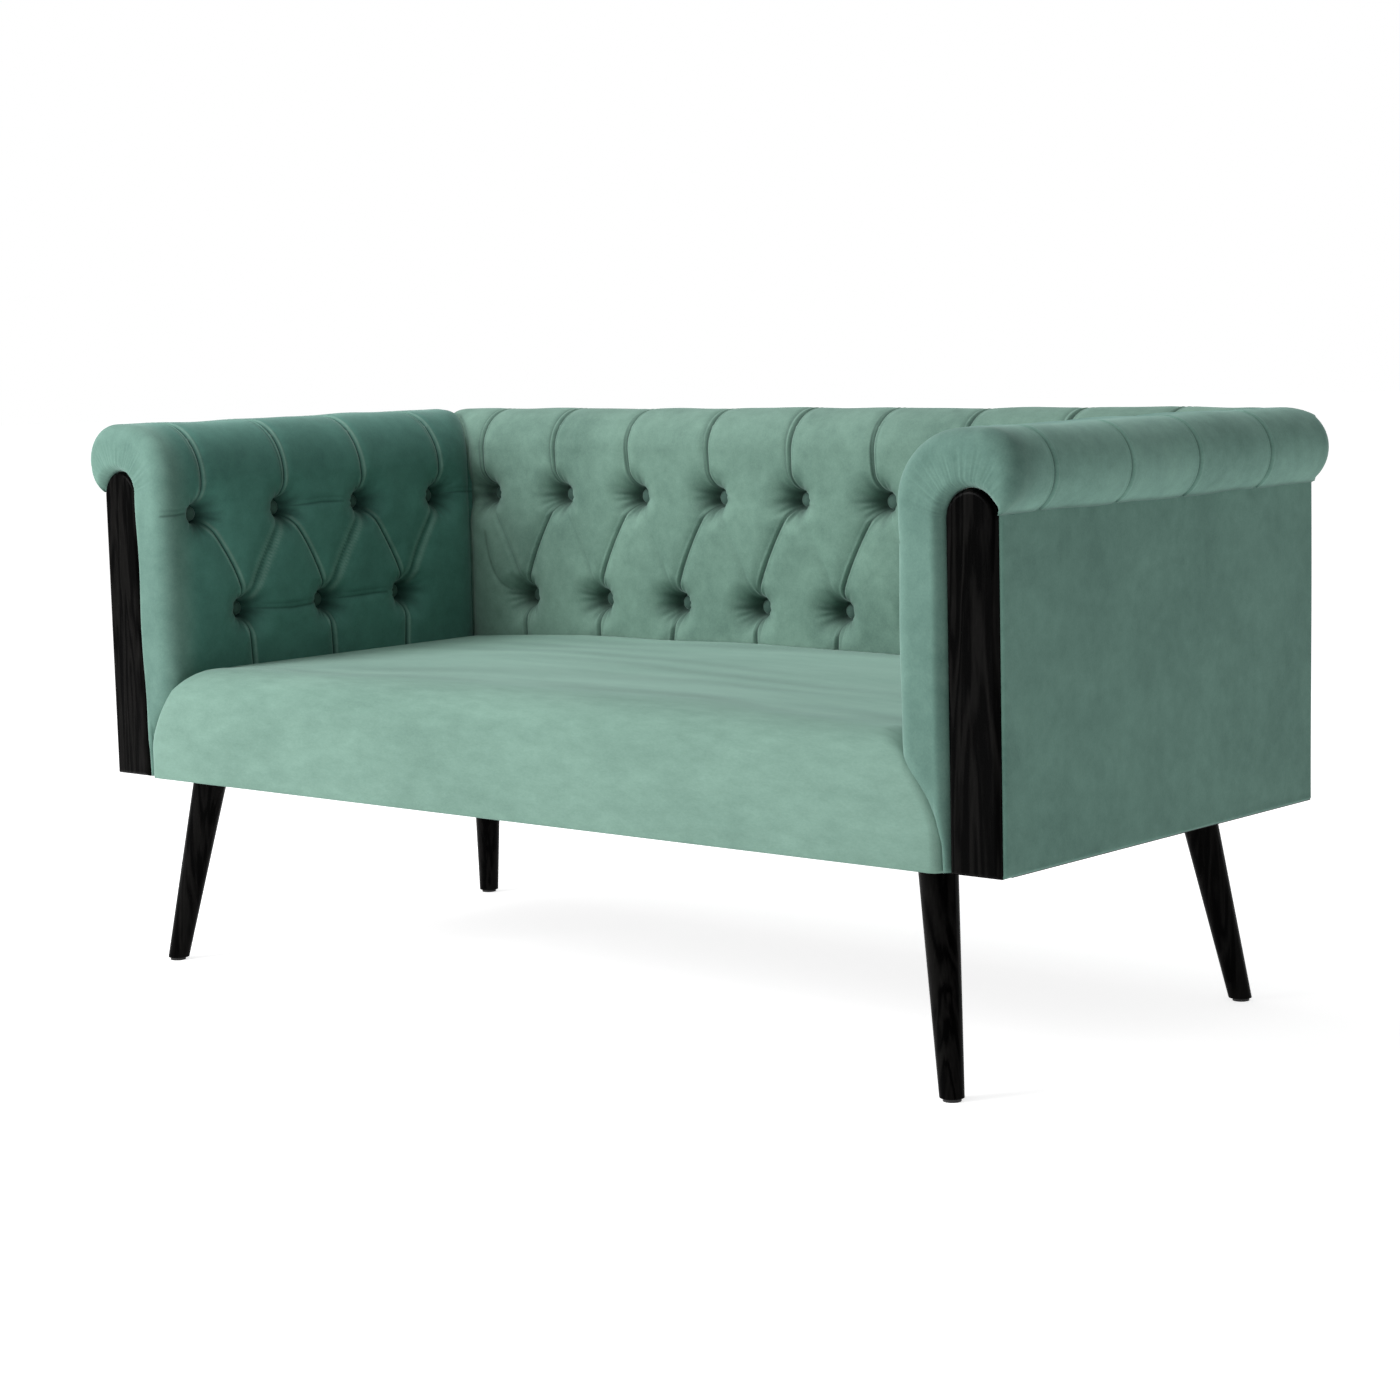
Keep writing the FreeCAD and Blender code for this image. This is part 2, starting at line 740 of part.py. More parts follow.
def hexagon(x, run, length):
    """Six-sided head or nut on a bolt."""
    points = []
    for corner in range(7):
        angle = corner * math.pi / 3
        y = run + arm_bolt_head_radius * math.cos(angle)
        points.append(vector(x, y, arm_bolt_height + arm_bolt_head_radius * math.sin(angle)))
    return Part.Face(Part.makePolygon(points)).extrude(vector(length, 0, 0))


def arm_bolt(run):
    """Bolt through the seat side rail and the arm bottom rail, with its nut."""
    start = frame_inner - rail_thickness
    length = bolt_reach + arm_bolt_head
    shank = rod(vector(start, run, arm_bolt_height), vector(1, 0, 0), length, arm_bolt_radius)
    head = hexagon(start - arm_bolt_head, run, arm_bolt_head)
    nut = hexagon(start + bolt_reach, run, arm_bolt_head)
    return shank.fuse([head, nut]).removeSplitter()


def arm_bolt_hole(run):
    start = vector(frame_inner - rail_thickness - 1, run, arm_bolt_height)
    return rod(start, vector(1, 0, 0), bolt_reach + 2, arm_bolt_radius + bolt_gap)


bolt_holes = [arm_bolt_hole(run) for run in arm_bolt_runs]
arm_bottom_rail = block(
    (frame_inner, post_rear, rail_bottom), (frame_inner + rail_thickness, back_frame_front, rail_top))
save_pair("arm_bottom_rail", arm_bottom_rail.cut(bolt_holes))
right_bolts = [arm_bolt(run) for run in arm_bolt_runs]
save("arm_bolts", group(right_bolts + [mirrored(bolt) for bolt in right_bolts]))

# Back frame between the rear posts
save("back_top_rail", block(
    (-rear_inner, back_frame_front, frame_top - top_rail_height), (rear_inner, frame_rear, frame_top)))
save("back_tuck_rail", block(
    (-rear_inner, back_frame_front, tuck_rail_bottom), (rear_inner, frame_rear, tuck_rail_top)))
upright_offset = upright_share * back_pitch
upright = block(
    (upright_offset - upright_width / 2, back_frame_front, tuck_rail_top),
    (upright_offset + upright_width / 2, frame_rear, frame_top - top_rail_height))
save("back_uprights", group([upright, mirrored(upright)]))

# Seat box
seat_rail_inner = frame_inner - rail_thickness
front_rail = block(
    (-frame_inner, front_rail_front, rail_bottom), (frame_inner, front_rail_rear, rail_top))
inside_skin = seat_section(seat_skin + soft_gap)
inside_skin.translate(vector(0, seat_front, 0))
inside_skin = inside_skin.extrude(vector(0, front_rail_rear + rail_thickness - seat_front, 0))
save("seat_front_rail", front_rail.common(inside_skin))
save("seat_rear_rail", block(
    (-rear_inner, back_frame_front, rail_bottom), (rear_inner, frame_rear, rail_top)))
side_rail = block((seat_rail_inner, front_rail_rear, rail_bottom), (frame_inner, back_frame_front, rail_top))
save_pair("seat_side_rail", side_rail.cut(bolt_holes))
save("seat_centre_bearer", block(
    (-rail_thickness / 2, front_rail_rear, rail_bottom), (rail_thickness / 2, back_frame_front, rail_top)))

# Legs: tapered rounds leaning out at each corner, with hanger bolts into the corner blocks
leg_top_x = outer_face - leg_inset_x
leg_top_front = facing_front + leg_inset_y
leg_top_rear = rear_face - leg_inset_y


def leg_axis(front):
    """Top centre of a right leg and its direction, pointing up and inward."""
    run = leg_top_front if front else leg_top_rear
    lean = leg_splay_y if front else -leg_splay_y
    top = vector(leg_top_x, run, underside_height)
    return top, vector(-leg_splay_x, lean, underside_height).normalize()


def leg_shape(front):
    """Tapered round cut level at the seat and at the glide."""
    top, up = leg_axis(front)
    slant = underside_height / up.z
    spare = 40.0
    slope = (leg_top_radius - leg_foot_radius) / slant
    start = top.sub(up * (slant + spare))
    cone = Part.makeCone(
        leg_foot_radius - slope * spare, leg_top_radius + slope * spare, slant + 2 * spare, start, up)
    standing = block((0, -overall_depth, glide_height), (body_width, overall_depth, underside_height))
    leg = cone.common(standing)
    bolt_hole = rod(top.sub(up * (bolt_in_leg + 1)), up, bolt_in_leg + 20, bolt_radius + bolt_gap)
    foot = leg_foot(front)
    pin_hole = rod(foot, vector(0, 0, 1), glide_height + glide_pin_length + 1, glide_pin_radius + bolt_gap)
    return leg.cut([bolt_hole, pin_hole])


def leg_foot(front):
    """Middle of a right leg's foot on the floor."""
    top, up = leg_axis(front)
    return top.sub(up * (underside_height / up.z))


def glide(front):
    """Flat round glide with a pin driven into the foot."""
    foot = leg_foot(front)
    pad = rod(foot, vector(0, 0, 1), glide_height, glide_radius)
    pin = rod(foot, vector(0, 0, 1), glide_height + glide_pin_length, glide_pin_radius)
    return pad.fuse(pin).removeSplitter()


def hanger_bolt(front):
    top, up = leg_axis(front)
    return rod(top.sub(up * bolt_in_leg), up, bolt_in_leg + bolt_in_block, bolt_radius)


def insert_start(front):
    """Lower end of a threaded insert, clear of the underside of its block."""
    top, up = leg_axis(front)
    return top.add(up * (rail_bottom - underside_height + insert_radius / 2)), up


def threaded_insert(front):
    start, up = insert_start(front)
    sleeve = rod(start, up, insert_length, insert_radius)
    return sleeve.cut(rod(start.sub(up), up, insert_length + 2, bolt_radius + bolt_gap))


def corner_block(front):
    """Three-sided block glued into a corner of the seat box, bored for the leg's insert and bolt."""
    run = front_rail_rear if front else back_frame_front
    turn = corner_block_size if front else -corner_block_size
    points = [
        vector(seat_rail_inner, run, rail_bottom),
        vector(seat_rail_inner - corner_block_size, run, rail_bottom),
        vector(seat_rail_inner, run + turn, rail_bottom),
    ]
    solid = Part.Face(Part.makePolygon(points + points[:1])).extrude(vector(0, 0, corner_block_height))
    start, up = insert_start(front)
    top, up = leg_axis(front)
    insert_hole = rod(start.sub(up * bolt_gap), up, insert_length + 2 * bolt_gap, insert_radius + bolt_gap)
    bore = (rail_bottom + corner_block_height - underside_height) / up.z
    bolt_hole = rod(top.sub(up * 10), up, bore + 20, bolt_radius + bolt_gap)
    return solid.cut([insert_hole, bolt_hole])


save_pair("front_leg", leg_shape(True))
save_pair("rear_leg", leg_shape(False))


def all_corners(maker):
    """One piece at each of the four corners."""
    right = [maker(True), maker(False)]
    return group(right + [mirrored(piece) for piece in right])


save("corner_blocks", all_corners(corner_block))
save("leg_hanger_bolts", all_corners(hanger_bolt))
save("leg_inserts", all_corners(threaded_insert))
save("leg_glides", all_corners(glide))

# Webbing over the seat box, with the deck cloth on it
web_places = spread_places(web_count, 2 * (seat_rail_inner - web_width) / (web_count - 1), 0.0)
webs = [
    block(
        (x - web_width / 2, front_rail_front, rail_top),
        (x + web_width / 2, frame_rear, rail_top + web_thickness))
    for x in web_places
]
save("seat_webbing", group(webs))
cross_pitch = (back_frame_front - front_rail_rear) / (cross_web_count + 1)
cross_middle = (back_frame_front + front_rail_rear) / 2
cross_webs = [
    block(
        (-frame_inner, run - web_width / 2, cross_web_bottom),
        (frame_inner, run + web_width / 2, cross_web_bottom + web_thickness))
    for run in spread_places(cross_web_count, cross_pitch, cross_middle)
]
save("seat_cross_webbing", group(cross_webs))
deck_half = arm_crown - soft_gap * 2
save("deck_cloth", block(
    (-deck_half, front_rail_front, deck_bottom), (deck_half, seat_rear, deck_bottom + deck_thickness)))

# Dust cover under the whole frame, pierced by the leg bolts
dust_top = underside_height + dust_thickness
dust_half = outer_face - outer_cover_thickness - soft_gap
dust_rear = rear_face - outer_cover_thickness - soft_gap
dust = block((-dust_half, border_rear + soft_gap, underside_height), (dust_half, dust_rear, dust_top))
dust = dust.fuse(block(
    (-frame_inner, front_rail_front, underside_height), (frame_inner, dust_rear, dust_top))).removeSplitter()
pierced = []
for front in (True, False):
    top, up = leg_axis(front)
    hole = rod(top.sub(up * 10), up, 30, bolt_radius + 1)
    pierced += [hole, mirrored(hole)]
save("dust_cover", dust.cut(pierced))
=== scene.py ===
import math

import bpy
import numpy as np
from mathutils import Matrix, Vector


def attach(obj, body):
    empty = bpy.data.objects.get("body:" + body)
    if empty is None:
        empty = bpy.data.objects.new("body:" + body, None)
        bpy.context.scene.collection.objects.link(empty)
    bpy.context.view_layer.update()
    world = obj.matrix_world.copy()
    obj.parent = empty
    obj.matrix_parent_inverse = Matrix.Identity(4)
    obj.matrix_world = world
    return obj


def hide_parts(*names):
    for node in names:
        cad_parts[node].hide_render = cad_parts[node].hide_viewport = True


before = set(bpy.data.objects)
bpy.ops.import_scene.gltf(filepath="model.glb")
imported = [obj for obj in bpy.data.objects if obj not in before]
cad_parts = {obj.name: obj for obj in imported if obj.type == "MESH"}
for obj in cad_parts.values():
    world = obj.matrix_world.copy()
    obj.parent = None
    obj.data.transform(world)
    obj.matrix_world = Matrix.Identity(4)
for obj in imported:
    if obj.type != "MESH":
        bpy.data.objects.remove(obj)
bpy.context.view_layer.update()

# Studio: one camera at the three-quarter view of the settee, a plain pale floor, a large soft lamp at
# the front left, a wider one overhead and a surround that is brightest at the front left.
camera_place = (2596.7, -2932.2, 848.5)
camera_yaw = math.radians(41.14)
camera_pitch = math.radians(6.98)
camera_roll = math.radians(1.40)
camera_data = bpy.data.cameras.new("view")
camera_data.sensor_width = 36.0
camera_data.lens = 77.55
camera_data.clip_end = 100.0
ahead = Vector((
    -math.sin(camera_yaw) * math.cos(camera_pitch),
    math.cos(camera_yaw) * math.cos(camera_pitch),
    -math.sin(camera_pitch)))
level = Vector((math.cos(camera_yaw), math.sin(camera_yaw), 0.0))
down = ahead.cross(level)
right = math.cos(camera_roll) * level + math.sin(camera_roll) * down
down = math.cos(camera_roll) * down - math.sin(camera_roll) * level
camera = bpy.data.objects.new("view", camera_data)
camera.matrix_world = Matrix((
    (right.x, -down.x, -ahead.x, camera_place[0] / 1000),
    (right.y, -down.y, -ahead.y, camera_place[1] / 1000),
    (right.z, -down.z, -ahead.z, camera_place[2] / 1000),
    (0.0, 0.0, 0.0, 1.0)))
bpy.context.collection.objects.link(camera)
bpy.context.scene.camera = camera
bpy.context.scene.view_settings.view_transform = "Standard"


def soft_lamp(name, place, aim, size, power):
    """Square soft lamp at a place, turned to face a point."""
    lamp = bpy.data.lights.new(name, "AREA")
    lamp.size = size
    lamp.energy = power
    piece = bpy.data.objects.new(name, lamp)
    piece.location = place
    piece.rotation_euler = (Vector(aim) - Vector(place)).to_track_quat("-Z", "Y").to_euler()
    bpy.context.collection.objects.link(piece)


soft_lamp("front_left_lamp", place=(-1.9, -3.5, 2.0), aim=(0.0, 0.0, 0.45), size=1.8, power=128.0)
soft_lamp("overhead_lamp", place=(-0.9, -0.6, 3.1), aim=(0.0, 0.0, 0.4), size=2.2, power=58.0)


def grid_faces(rows, columns, first=0, turned=False):
    """Four-sided faces of a grid of points, numbered row by row, wound the other way if turned."""
    index = first + np.arange(rows * columns).reshape(rows, columns)
    corners = [index[:-1, :-1], index[1:, :-1], index[1:, 1:], index[:-1, 1:]]
    if turned:
        corners.reverse()
    return np.stack(corners, axis=-1).reshape(-1, 4)


def new_piece(name, points, faces, material, **measures):
    """Smooth-shaded mesh piece at the origin, from points in millimetres, with its own measures per point."""
    mesh = bpy.data.meshes.new(name)
    mesh.from_pydata(np.asarray(points).reshape(-1, 3) / 1000, [], faces)
    mesh.polygons.foreach_set("use_smooth", np.ones(len(mesh.polygons), dtype=bool))
    mesh.update()
    mesh.materials.append(material)
    for measure, values in measures.items():
        attribute = mesh.attributes.new(measure, "FLOAT", "POINT")
        attribute.data.foreach_set("value", values.ravel().astype(np.float32))
    piece = bpy.data.objects.new(name, mesh)
    bpy.context.collection.objects.link(piece)
    return piece


def new_material(name, **sockets):
    """Material whose constant shader values are set on the shader itself."""
    material = bpy.data.materials.new(name)
    material.use_nodes = True
    shader = material.node_tree.nodes["Principled BSDF"]
    for socket, value in sockets.items():
        shader.inputs[socket.replace("_", " ")].default_value = value
    return material


def add_node(tree, kind, links=(), **values):
    """Shader node with values for its sockets or settings, fed by (its input, other node, output) links."""
    node = tree.nodes.new(kind)
    for key, value in values.items():
        if key in node.bl_rna.properties:
            setattr(node, key, value)
        else:
            node.inputs[key.replace("_", " ")].default_value = value
    for socket, other, output in links:
        tree.links.new(other.outputs[output], node.inputs[socket])
    return node


def feed(material, socket, node, output="Result"):
    """Link a node's output to a socket of the material's shader."""
    tree = material.node_tree
    tree.links.new(node.outputs[output], tree.nodes["Principled BSDF"].inputs[socket])


def tinted(material, node, output, dark, light):
    """Colour a material from dark to light by a node's output."""
    tint = add_node(
        material.node_tree, "ShaderNodeMix", [("Factor", node, output)],
        data_type="RGBA", A=(*dark, 1.0), B=(*light, 1.0))
    feed(material, "Base Color", tint)


sky_brightest = (-0.50, -0.75, 0.43)
world = bpy.data.worlds.new("surround")
world.use_nodes = True
bpy.context.scene.world = world
sky_tree = world.node_tree
sky = sky_tree.nodes["Background"]
sky_way = add_node(sky_tree, "ShaderNodeTexCoord")
sky_side = add_node(sky_tree, "ShaderNodeVectorMath", [(0, sky_way, "Generated")], operation="DOT_PRODUCT")
sky_side.inputs[1].default_value = sky_brightest
sky_level = add_node(
    sky_tree, "ShaderNodeMapRange", [("Value", sky_side, "Value")],
    From_Min=-0.6, From_Max=0.9, To_Min=0.04, To_Max=0.62)
sky_seen = add_node(sky_tree, "ShaderNodeLightPath")
sky_power = add_node(
    sky_tree, "ShaderNodeMix", [("Factor", sky_seen, "Is Camera Ray"), ("A", sky_level, "Result")],
    data_type="FLOAT", B=1.0)
sky.inputs["Color"].default_value = (1.0, 1.0, 1.0, 1.0)
sky_tree.links.new(sky_power.outputs["Result"], sky.inputs["Strength"])

floor_material = new_material(
    "pale_floor", Roughness=0.9, Emission_Color=(1.0, 1.0, 1.0, 1.0), Emission_Strength=0.76)
floor_tree = floor_material.node_tree
floor_place = add_node(floor_tree, "ShaderNodeTexCoord")
floor_mottle = add_node(
    floor_tree, "ShaderNodeTexNoise", [("Vector", floor_place, "Object")], Scale=0.7, Detail=2.0)
tinted(floor_material, floor_mottle, "Fac", (0.78, 0.78, 0.78), (0.82, 0.82, 0.82))
floor_seen = add_node(floor_tree, "ShaderNodeLightPath")
floor_glow = add_node(
    floor_tree, "ShaderNodeMix", [("Factor", floor_seen, "Is Camera Ray")],
    data_type="RGBA", A=(0.80, 0.80, 0.80, 1.0), B=(1.0, 1.0, 1.0, 1.0))
feed(floor_material, "Emission Color", floor_glow)
floor_radius = 30000
floor_angles = 97
floor_rings = 3
floor_angle, floor_ring = np.meshgrid(
    np.linspace(0, 2 * math.pi, floor_angles), np.linspace(0, floor_radius, floor_rings), indexing="ij")
floor_points = np.stack(
    [floor_ring * np.cos(floor_angle), floor_ring * np.sin(floor_angle), np.zeros_like(floor_ring)], axis=-1)
floor = new_piece("floor", floor_points, grid_faces(floor_angles, floor_rings, turned=True), floor_material)


# Timber frame: planed pine rails, posts, bearer and corner blocks, glued and screwed. The solids are
# right as they are and get a straight grain; hidden once the covers are on.
def new_group(name, inputs, outputs):
    """Shader node group with (socket, kind, value) inputs and (socket, kind) outputs, and its end nodes."""
    group = bpy.data.node_groups.new(name, "ShaderNodeTree")
    for socket, kind, value in inputs:
        made = group.interface.new_socket(name=socket, in_out="INPUT", socket_type="NodeSocket" + kind)
        if value is not None:
            made.default_value = value
    for socket, kind in outputs:
        group.interface.new_socket(name=socket, in_out="OUTPUT", socket_type="NodeSocket" + kind)
    return group, group.nodes.new("NodeGroupInput"), group.nodes.new("NodeGroupOutput")


grain, grain_in, grain_out = new_group(
    "wood_grain",
    [("Vector", "Vector", None), ("Rings", "Float", 8.0), ("Pores", "Float", 60.0)],
    [("Figure", "Float"), ("Fine", "Float")])
grain_sway = add_node(
    grain, "ShaderNodeTexNoise", [("Vector", grain_in, "Vector"), ("Scale", grain_in, "Rings")],
    Detail=3.0, Roughness=0.55, Distortion=0.6)
grain_bands = add_node(grain, "ShaderNodeMath", [(0, grain_sway, "Fac")], operation="MULTIPLY")
grain_bands.inputs[1].default_value = 46.0
grain_wave = add_node(grain, "ShaderNodeMath", [(0, grain_bands, "Value")], operation="SINE")
grain_half = add_node(grain, "ShaderNodeMath", [(0, grain_wave, "Value")], operation="MULTIPLY_ADD")
grain_half.inputs[1].default_value = 0.5
grain_half.inputs[2].default_value = 0.5
grain_fine = add_node(
    grain, "ShaderNodeTexNoise", [("Vector", grain_in, "Vector"), ("Scale", grain_in, "Pores")],
    Detail=4.0, Roughness=0.65)
grain.links.new(grain_half.outputs["Value"], grain_out.inputs["Figure"])
grain.links.new(grain_fine.outputs["Fac"], grain_out.inputs["Fine"])


def wood(name, stretch, rings, pores, dark, light, rough, relief, bare=0.0, **sockets):
    """Wood with growth figure and fine pores, both drawn out along one axis by the stretch of its
    coordinates. The figure shows light only above the bare level, so a high level leaves a few streaks."""
    material = new_material(name, **sockets)
    tree = material.node_tree
    place = add_node(tree, "ShaderNodeTexCoord")
    drawn = add_node(tree, "ShaderNodeMapping", [("Vector", place, "Object")], Scale=stretch)
    figure = add_node(
        tree, "ShaderNodeGroup", [("Vector", drawn, "Vector")], node_tree=grain, Rings=rings, Pores=pores)
    blend = add_node(
        tree, "ShaderNodeMix", [("A", figure, "Figure"), ("B", figure, "Fine")],
        data_type="FLOAT", Factor=0.55)
    streaks = add_node(
        tree, "ShaderNodeMapRange", [("Value", blend, "Result")], From_Min=bare, From_Max=1.0 - 0.4 * bare)
    tinted(material, streaks, "Result", dark, light)
    gloss = add_node(
        tree, "ShaderNodeMapRange", [("Value", figure, "Fine")], To_Min=rough - 0.08, To_Max=rough + 0.1)
    feed(material, "Roughness", gloss)
    bump = add_node(tree, "ShaderNodeBump", [("Height", blend, "Result")], Strength=relief, Distance=0.0006)
    feed(material, "Normal", bump, "Normal")
    return material


def dress(names, material):
    """Give CAD nodes a finish."""
    for name in names:
        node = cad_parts[name]
        node.data.materials.clear()
        node.data.materials.append(material)


both = ("left_", "right_")
pine = wood(
    "planed_pine", stretch=(3.0, 14.0, 14.0), rings=2.0, pores=20.0,
    dark=(0.50, 0.33, 0.17), light=(0.70, 0.52, 0.32), rough=0.6, relief=0.15)
dress([side + part for side in both for part in (
    "arm_front_post", "arm_rear_post", "arm_top_rail", "arm_tuck_rail", "arm_bottom_rail",
    "seat_side_rail")], pine)
dress([
    "back_top_rail", "back_tuck_rail", "back_uprights", "seat_front_rail", "seat_rear_rail",
    "seat_centre_bearer", "corner_blocks"], pine)


# Boards: thin birch plywood behind the buttoning, drilled for the ties, and brown fibreboard behind the
# flat outer covers, stapled to the frame.
birch = wood(
    "birch_plywood", stretch=(10.0, 10.0, 2.5), rings=2.5, pores=24.0,
    dark=(0.56, 0.41, 0.25), light=(0.72, 0.57, 0.38), rough=0.55, relief=0.1)
dress(["left_arm_tufting_board", "right_arm_tufting_board", "back_tufting_board"], birch)
fibre = wood(
    "brown_fibreboard", stretch=(1.0, 1.0, 1.0), rings=30.0, pores=260.0,
    dark=(0.17, 0.10, 0.05), light=(0.25, 0.16, 0.09), rough=0.75, relief=0.3)
dress(["left_outer_board", "right_outer_board", "rear_outer_board"], fibre)


# Cloths inside: black elastic webbing, black deck cloth and dust cover, waxed twine. All plain trade
# stock, tacked or tied in place.
def cloth_stock(name, dark, light, pitch, rough, relief):
    """Plain stock with a fine open structure: small cells for its weave or grain over a cloudy tint."""
    material = new_material(name, Roughness=rough)
    tree = material.node_tree
    place = add_node(tree, "ShaderNodeTexCoord")
    cloud = add_node(tree, "ShaderNodeTexNoise", [("Vector", place, "Object")], Scale=35.0, Detail=4.0)
    tinted(material, cloud, "Fac", dark, light)
    cells = add_node(tree, "ShaderNodeTexVoronoi", [("Vector", place, "Object")], Scale=1000.0 / pitch)
    bump = add_node(tree, "ShaderNodeBump", [("Height", cells, "Distance")], Strength=relief, Distance=0.0008)
    feed(material, "Normal", bump, "Normal")
    return material


webbing = cloth_stock(
    "elastic_webbing", dark=(0.015, 0.015, 0.016), light=(0.035, 0.034, 0.035),
    pitch=1.2, rough=0.8, relief=0.6)
dress(["seat_webbing", "seat_cross_webbing"], webbing)
black_cloth = cloth_stock(
    "black_lining", dark=(0.010, 0.010, 0.011), light=(0.024, 0.024, 0.026),
    pitch=0.8, rough=0.9, relief=0.4)
dress(["deck_cloth", "dust_cover"], black_cloth)
twine = cloth_stock(
    "waxed_twine", dark=(0.55, 0.47, 0.33), light=(0.70, 0.62, 0.46), pitch=0.6, rough=0.6, relief=0.6)
dress(["left_arm_button_ties", "right_arm_button_ties", "back_button_ties"], twine)


# Steel: zinc-plated hanger bolts and threaded inserts for the legs, arm bolts and facing screws. They draw
# the frame together and are all hidden inside it.
zinc = new_material("zinc_plate", Metallic=1.0)
zinc_place = add_node(zinc.node_tree, "ShaderNodeTexCoord")
zinc_cloud = add_node(
    zinc.node_tree, "ShaderNodeTexNoise", [("Vector", zinc_place, "Object")], Scale=220.0, Detail=5.0)
tinted(zinc, zinc_cloud, "Fac", (0.46, 0.47, 0.48), (0.66, 0.66, 0.64))
zinc_gloss = add_node(
    zinc.node_tree, "ShaderNodeMapRange", [("Value", zinc_cloud, "Fac")], To_Min=0.28, To_Max=0.45)
feed(zinc, "Roughness", zinc_gloss)
dress(["leg_hanger_bolts", "leg_inserts", "arm_bolts", "facing_screws"], zinc)


# Buttoned arms: velvet over wadding, drawn in at every button, pleated between the buttons and over the
# roll, then carried round the front edge of the arm and tacked behind the wood facing.
nap, nap_in, nap_out = new_group(
    "velvet_nap",
    [("Vector", "Vector", None), ("Brush", "Float", 6.0), ("Dark", "Color", None), ("Light", "Color", None)],
    [("Colour", "Color"), ("Pile", "Float")])
nap_brush = add_node(
    nap, "ShaderNodeTexNoise", [("Vector", nap_in, "Vector"), ("Scale", nap_in, "Brush")],
    Detail=4.0, Roughness=0.6, Distortion=0.5)
nap_fibre = add_node(
    nap, "ShaderNodeTexNoise", [("Vector", nap_in, "Vector")], Scale=420.0, Detail=3.0, Roughness=0.7)
nap_mottle = add_node(
    nap, "ShaderNodeTexNoise", [("Vector", nap_in, "Vector")], Scale=48.0, Detail=5.0, Roughness=0.65)
nap_coarse = add_node(
    nap, "ShaderNodeMath", [(0, nap_mottle, "Fac"), (2, nap_brush, "Fac")], operation="MULTIPLY_ADD")
nap_coarse.inputs[1].default_value = 0.7
nap_share = add_node(
    nap, "ShaderNodeMath", [(0, nap_fibre, "Fac"), (2, nap_coarse, "Value")], operation="MULTIPLY_ADD")
nap_share.inputs[1].default_value = 0.45
nap_level = add_node(
    nap, "ShaderNodeMapRange", [("Value", nap_share, "Value")], From_Min=0.80, From_Max=1.36)
nap_tint = add_node(
    nap, "ShaderNodeMix", [("Factor", nap_level, "Result"), ("A", nap_in, "Dark"), ("B", nap_in, "Light")],
    data_type="RGBA")
nap.links.new(nap_tint.outputs["Result"], nap_out.inputs["Colour"])
nap.links.new(nap_fibre.outputs["Fac"], nap_out.inputs["Pile"])
# Tint of the painted inner shade, which turns the arms' inner faces a darker, deeper green.
lie_tint = (0.44, 0.66, 0.65, 1.0)
# Near-black tint of the shade measure: painted shade of folds, hollows, roll tops and under the roll, and on
# the seat also its streaks.
shade_tint = (0.004, 0.014, 0.012, 1.0)


def velvet(name, dark, light, brush, stretch=(1.0, 1.0, 1.0), swing=0.0, shaded=False):
    """Short-pile velvet: brushed patches of pile that are lighter or darker, fine fibre and a soft sheen. A
    shaded one turns a deeper green by its piece's painted inner shade, and darker by its piece's shade:
    painted shade of folds, hollows, roll tops, the front border and the underside of the roll, and on the
    seat streaks."""
    material = new_material(
        name, Roughness=0.78, Sheen_Weight=0.35, Sheen_Roughness=0.40, Sheen_Tint=(0.68, 0.92, 0.86, 1.0),
        Specular_IOR_Level=0.15)
    tree = material.node_tree
    place = add_node(tree, "ShaderNodeTexCoord")
    drawn = add_node(
        tree, "ShaderNodeMapping", [("Vector", place, "Object")], Scale=stretch, Rotation=(0.0, 0.0, swing))
    pile = add_node(
        tree, "ShaderNodeGroup", [("Vector", drawn, "Vector")],
        node_tree=nap, Brush=brush, Dark=(*dark, 1.0), Light=(*light, 1.0))
    if shaded:
        # Painted inner shade from the piece's own measure, deepening its colour.
        lie = add_node(tree, "ShaderNodeAttribute", attribute_name="lie")
        deep = add_node(
            tree, "ShaderNodeMix", [("Factor", lie, "Fac"), ("A", pile, "Colour")],
            data_type="RGBA", blend_type="MULTIPLY", B=lie_tint)
        # Darkening by the piece's shade measure: painted shade, and on the seat also streaks of brushed pile.
        darkening = add_node(tree, "ShaderNodeAttribute", attribute_name="shade")
        tone = add_node(
            tree, "ShaderNodeMix", [("Factor", darkening, "Fac"), ("A", deep, "Result")],
            data_type="RGBA", B=shade_tint)
        feed(material, "Base Color", tone)
    else:
        feed(material, "Base Color", pile, "Colour")
    bump = add_node(tree, "ShaderNodeBump", [("Height", pile, "Pile")], Strength=0.25, Distance=0.0007)
    feed(material, "Normal", bump, "Normal")
    return material


# The arms' copy of the one velvet, its colour set for how light falls on the arms: painted light.
arm_velvet = velvet(
    "green_velvet_arm_painted_light", dark=(0.109, 0.214, 0.177), light=(0.182, 0.330, 0.273), brush=7.0, shaded=True)

# Rolled panels: their places, their top and the way the cloth is tucked under the roll.
arm_crown = 615.0
arm_roll = 163.0
back_crown = 237.0
back_roll = 109.0
border_front = -346.0
top_height = 740.0
roll_radius = 49.0
roll_overhang = 26.0
skin_thickness = 0.0022
cloth_step = 2.6
tuck_steps = np.array([(-4.0, 0.5, 4.0), (-9.0, 3.5, 9.0), (-14.0, 8.5, 15.0)])
stuffing_wave = 1.4
stuffing_calm = 60.0
# Painted shadow under the roll: its darkness and width.
under_roll_shadow_dark = 0.55
under_roll_shadow_width = 6.0

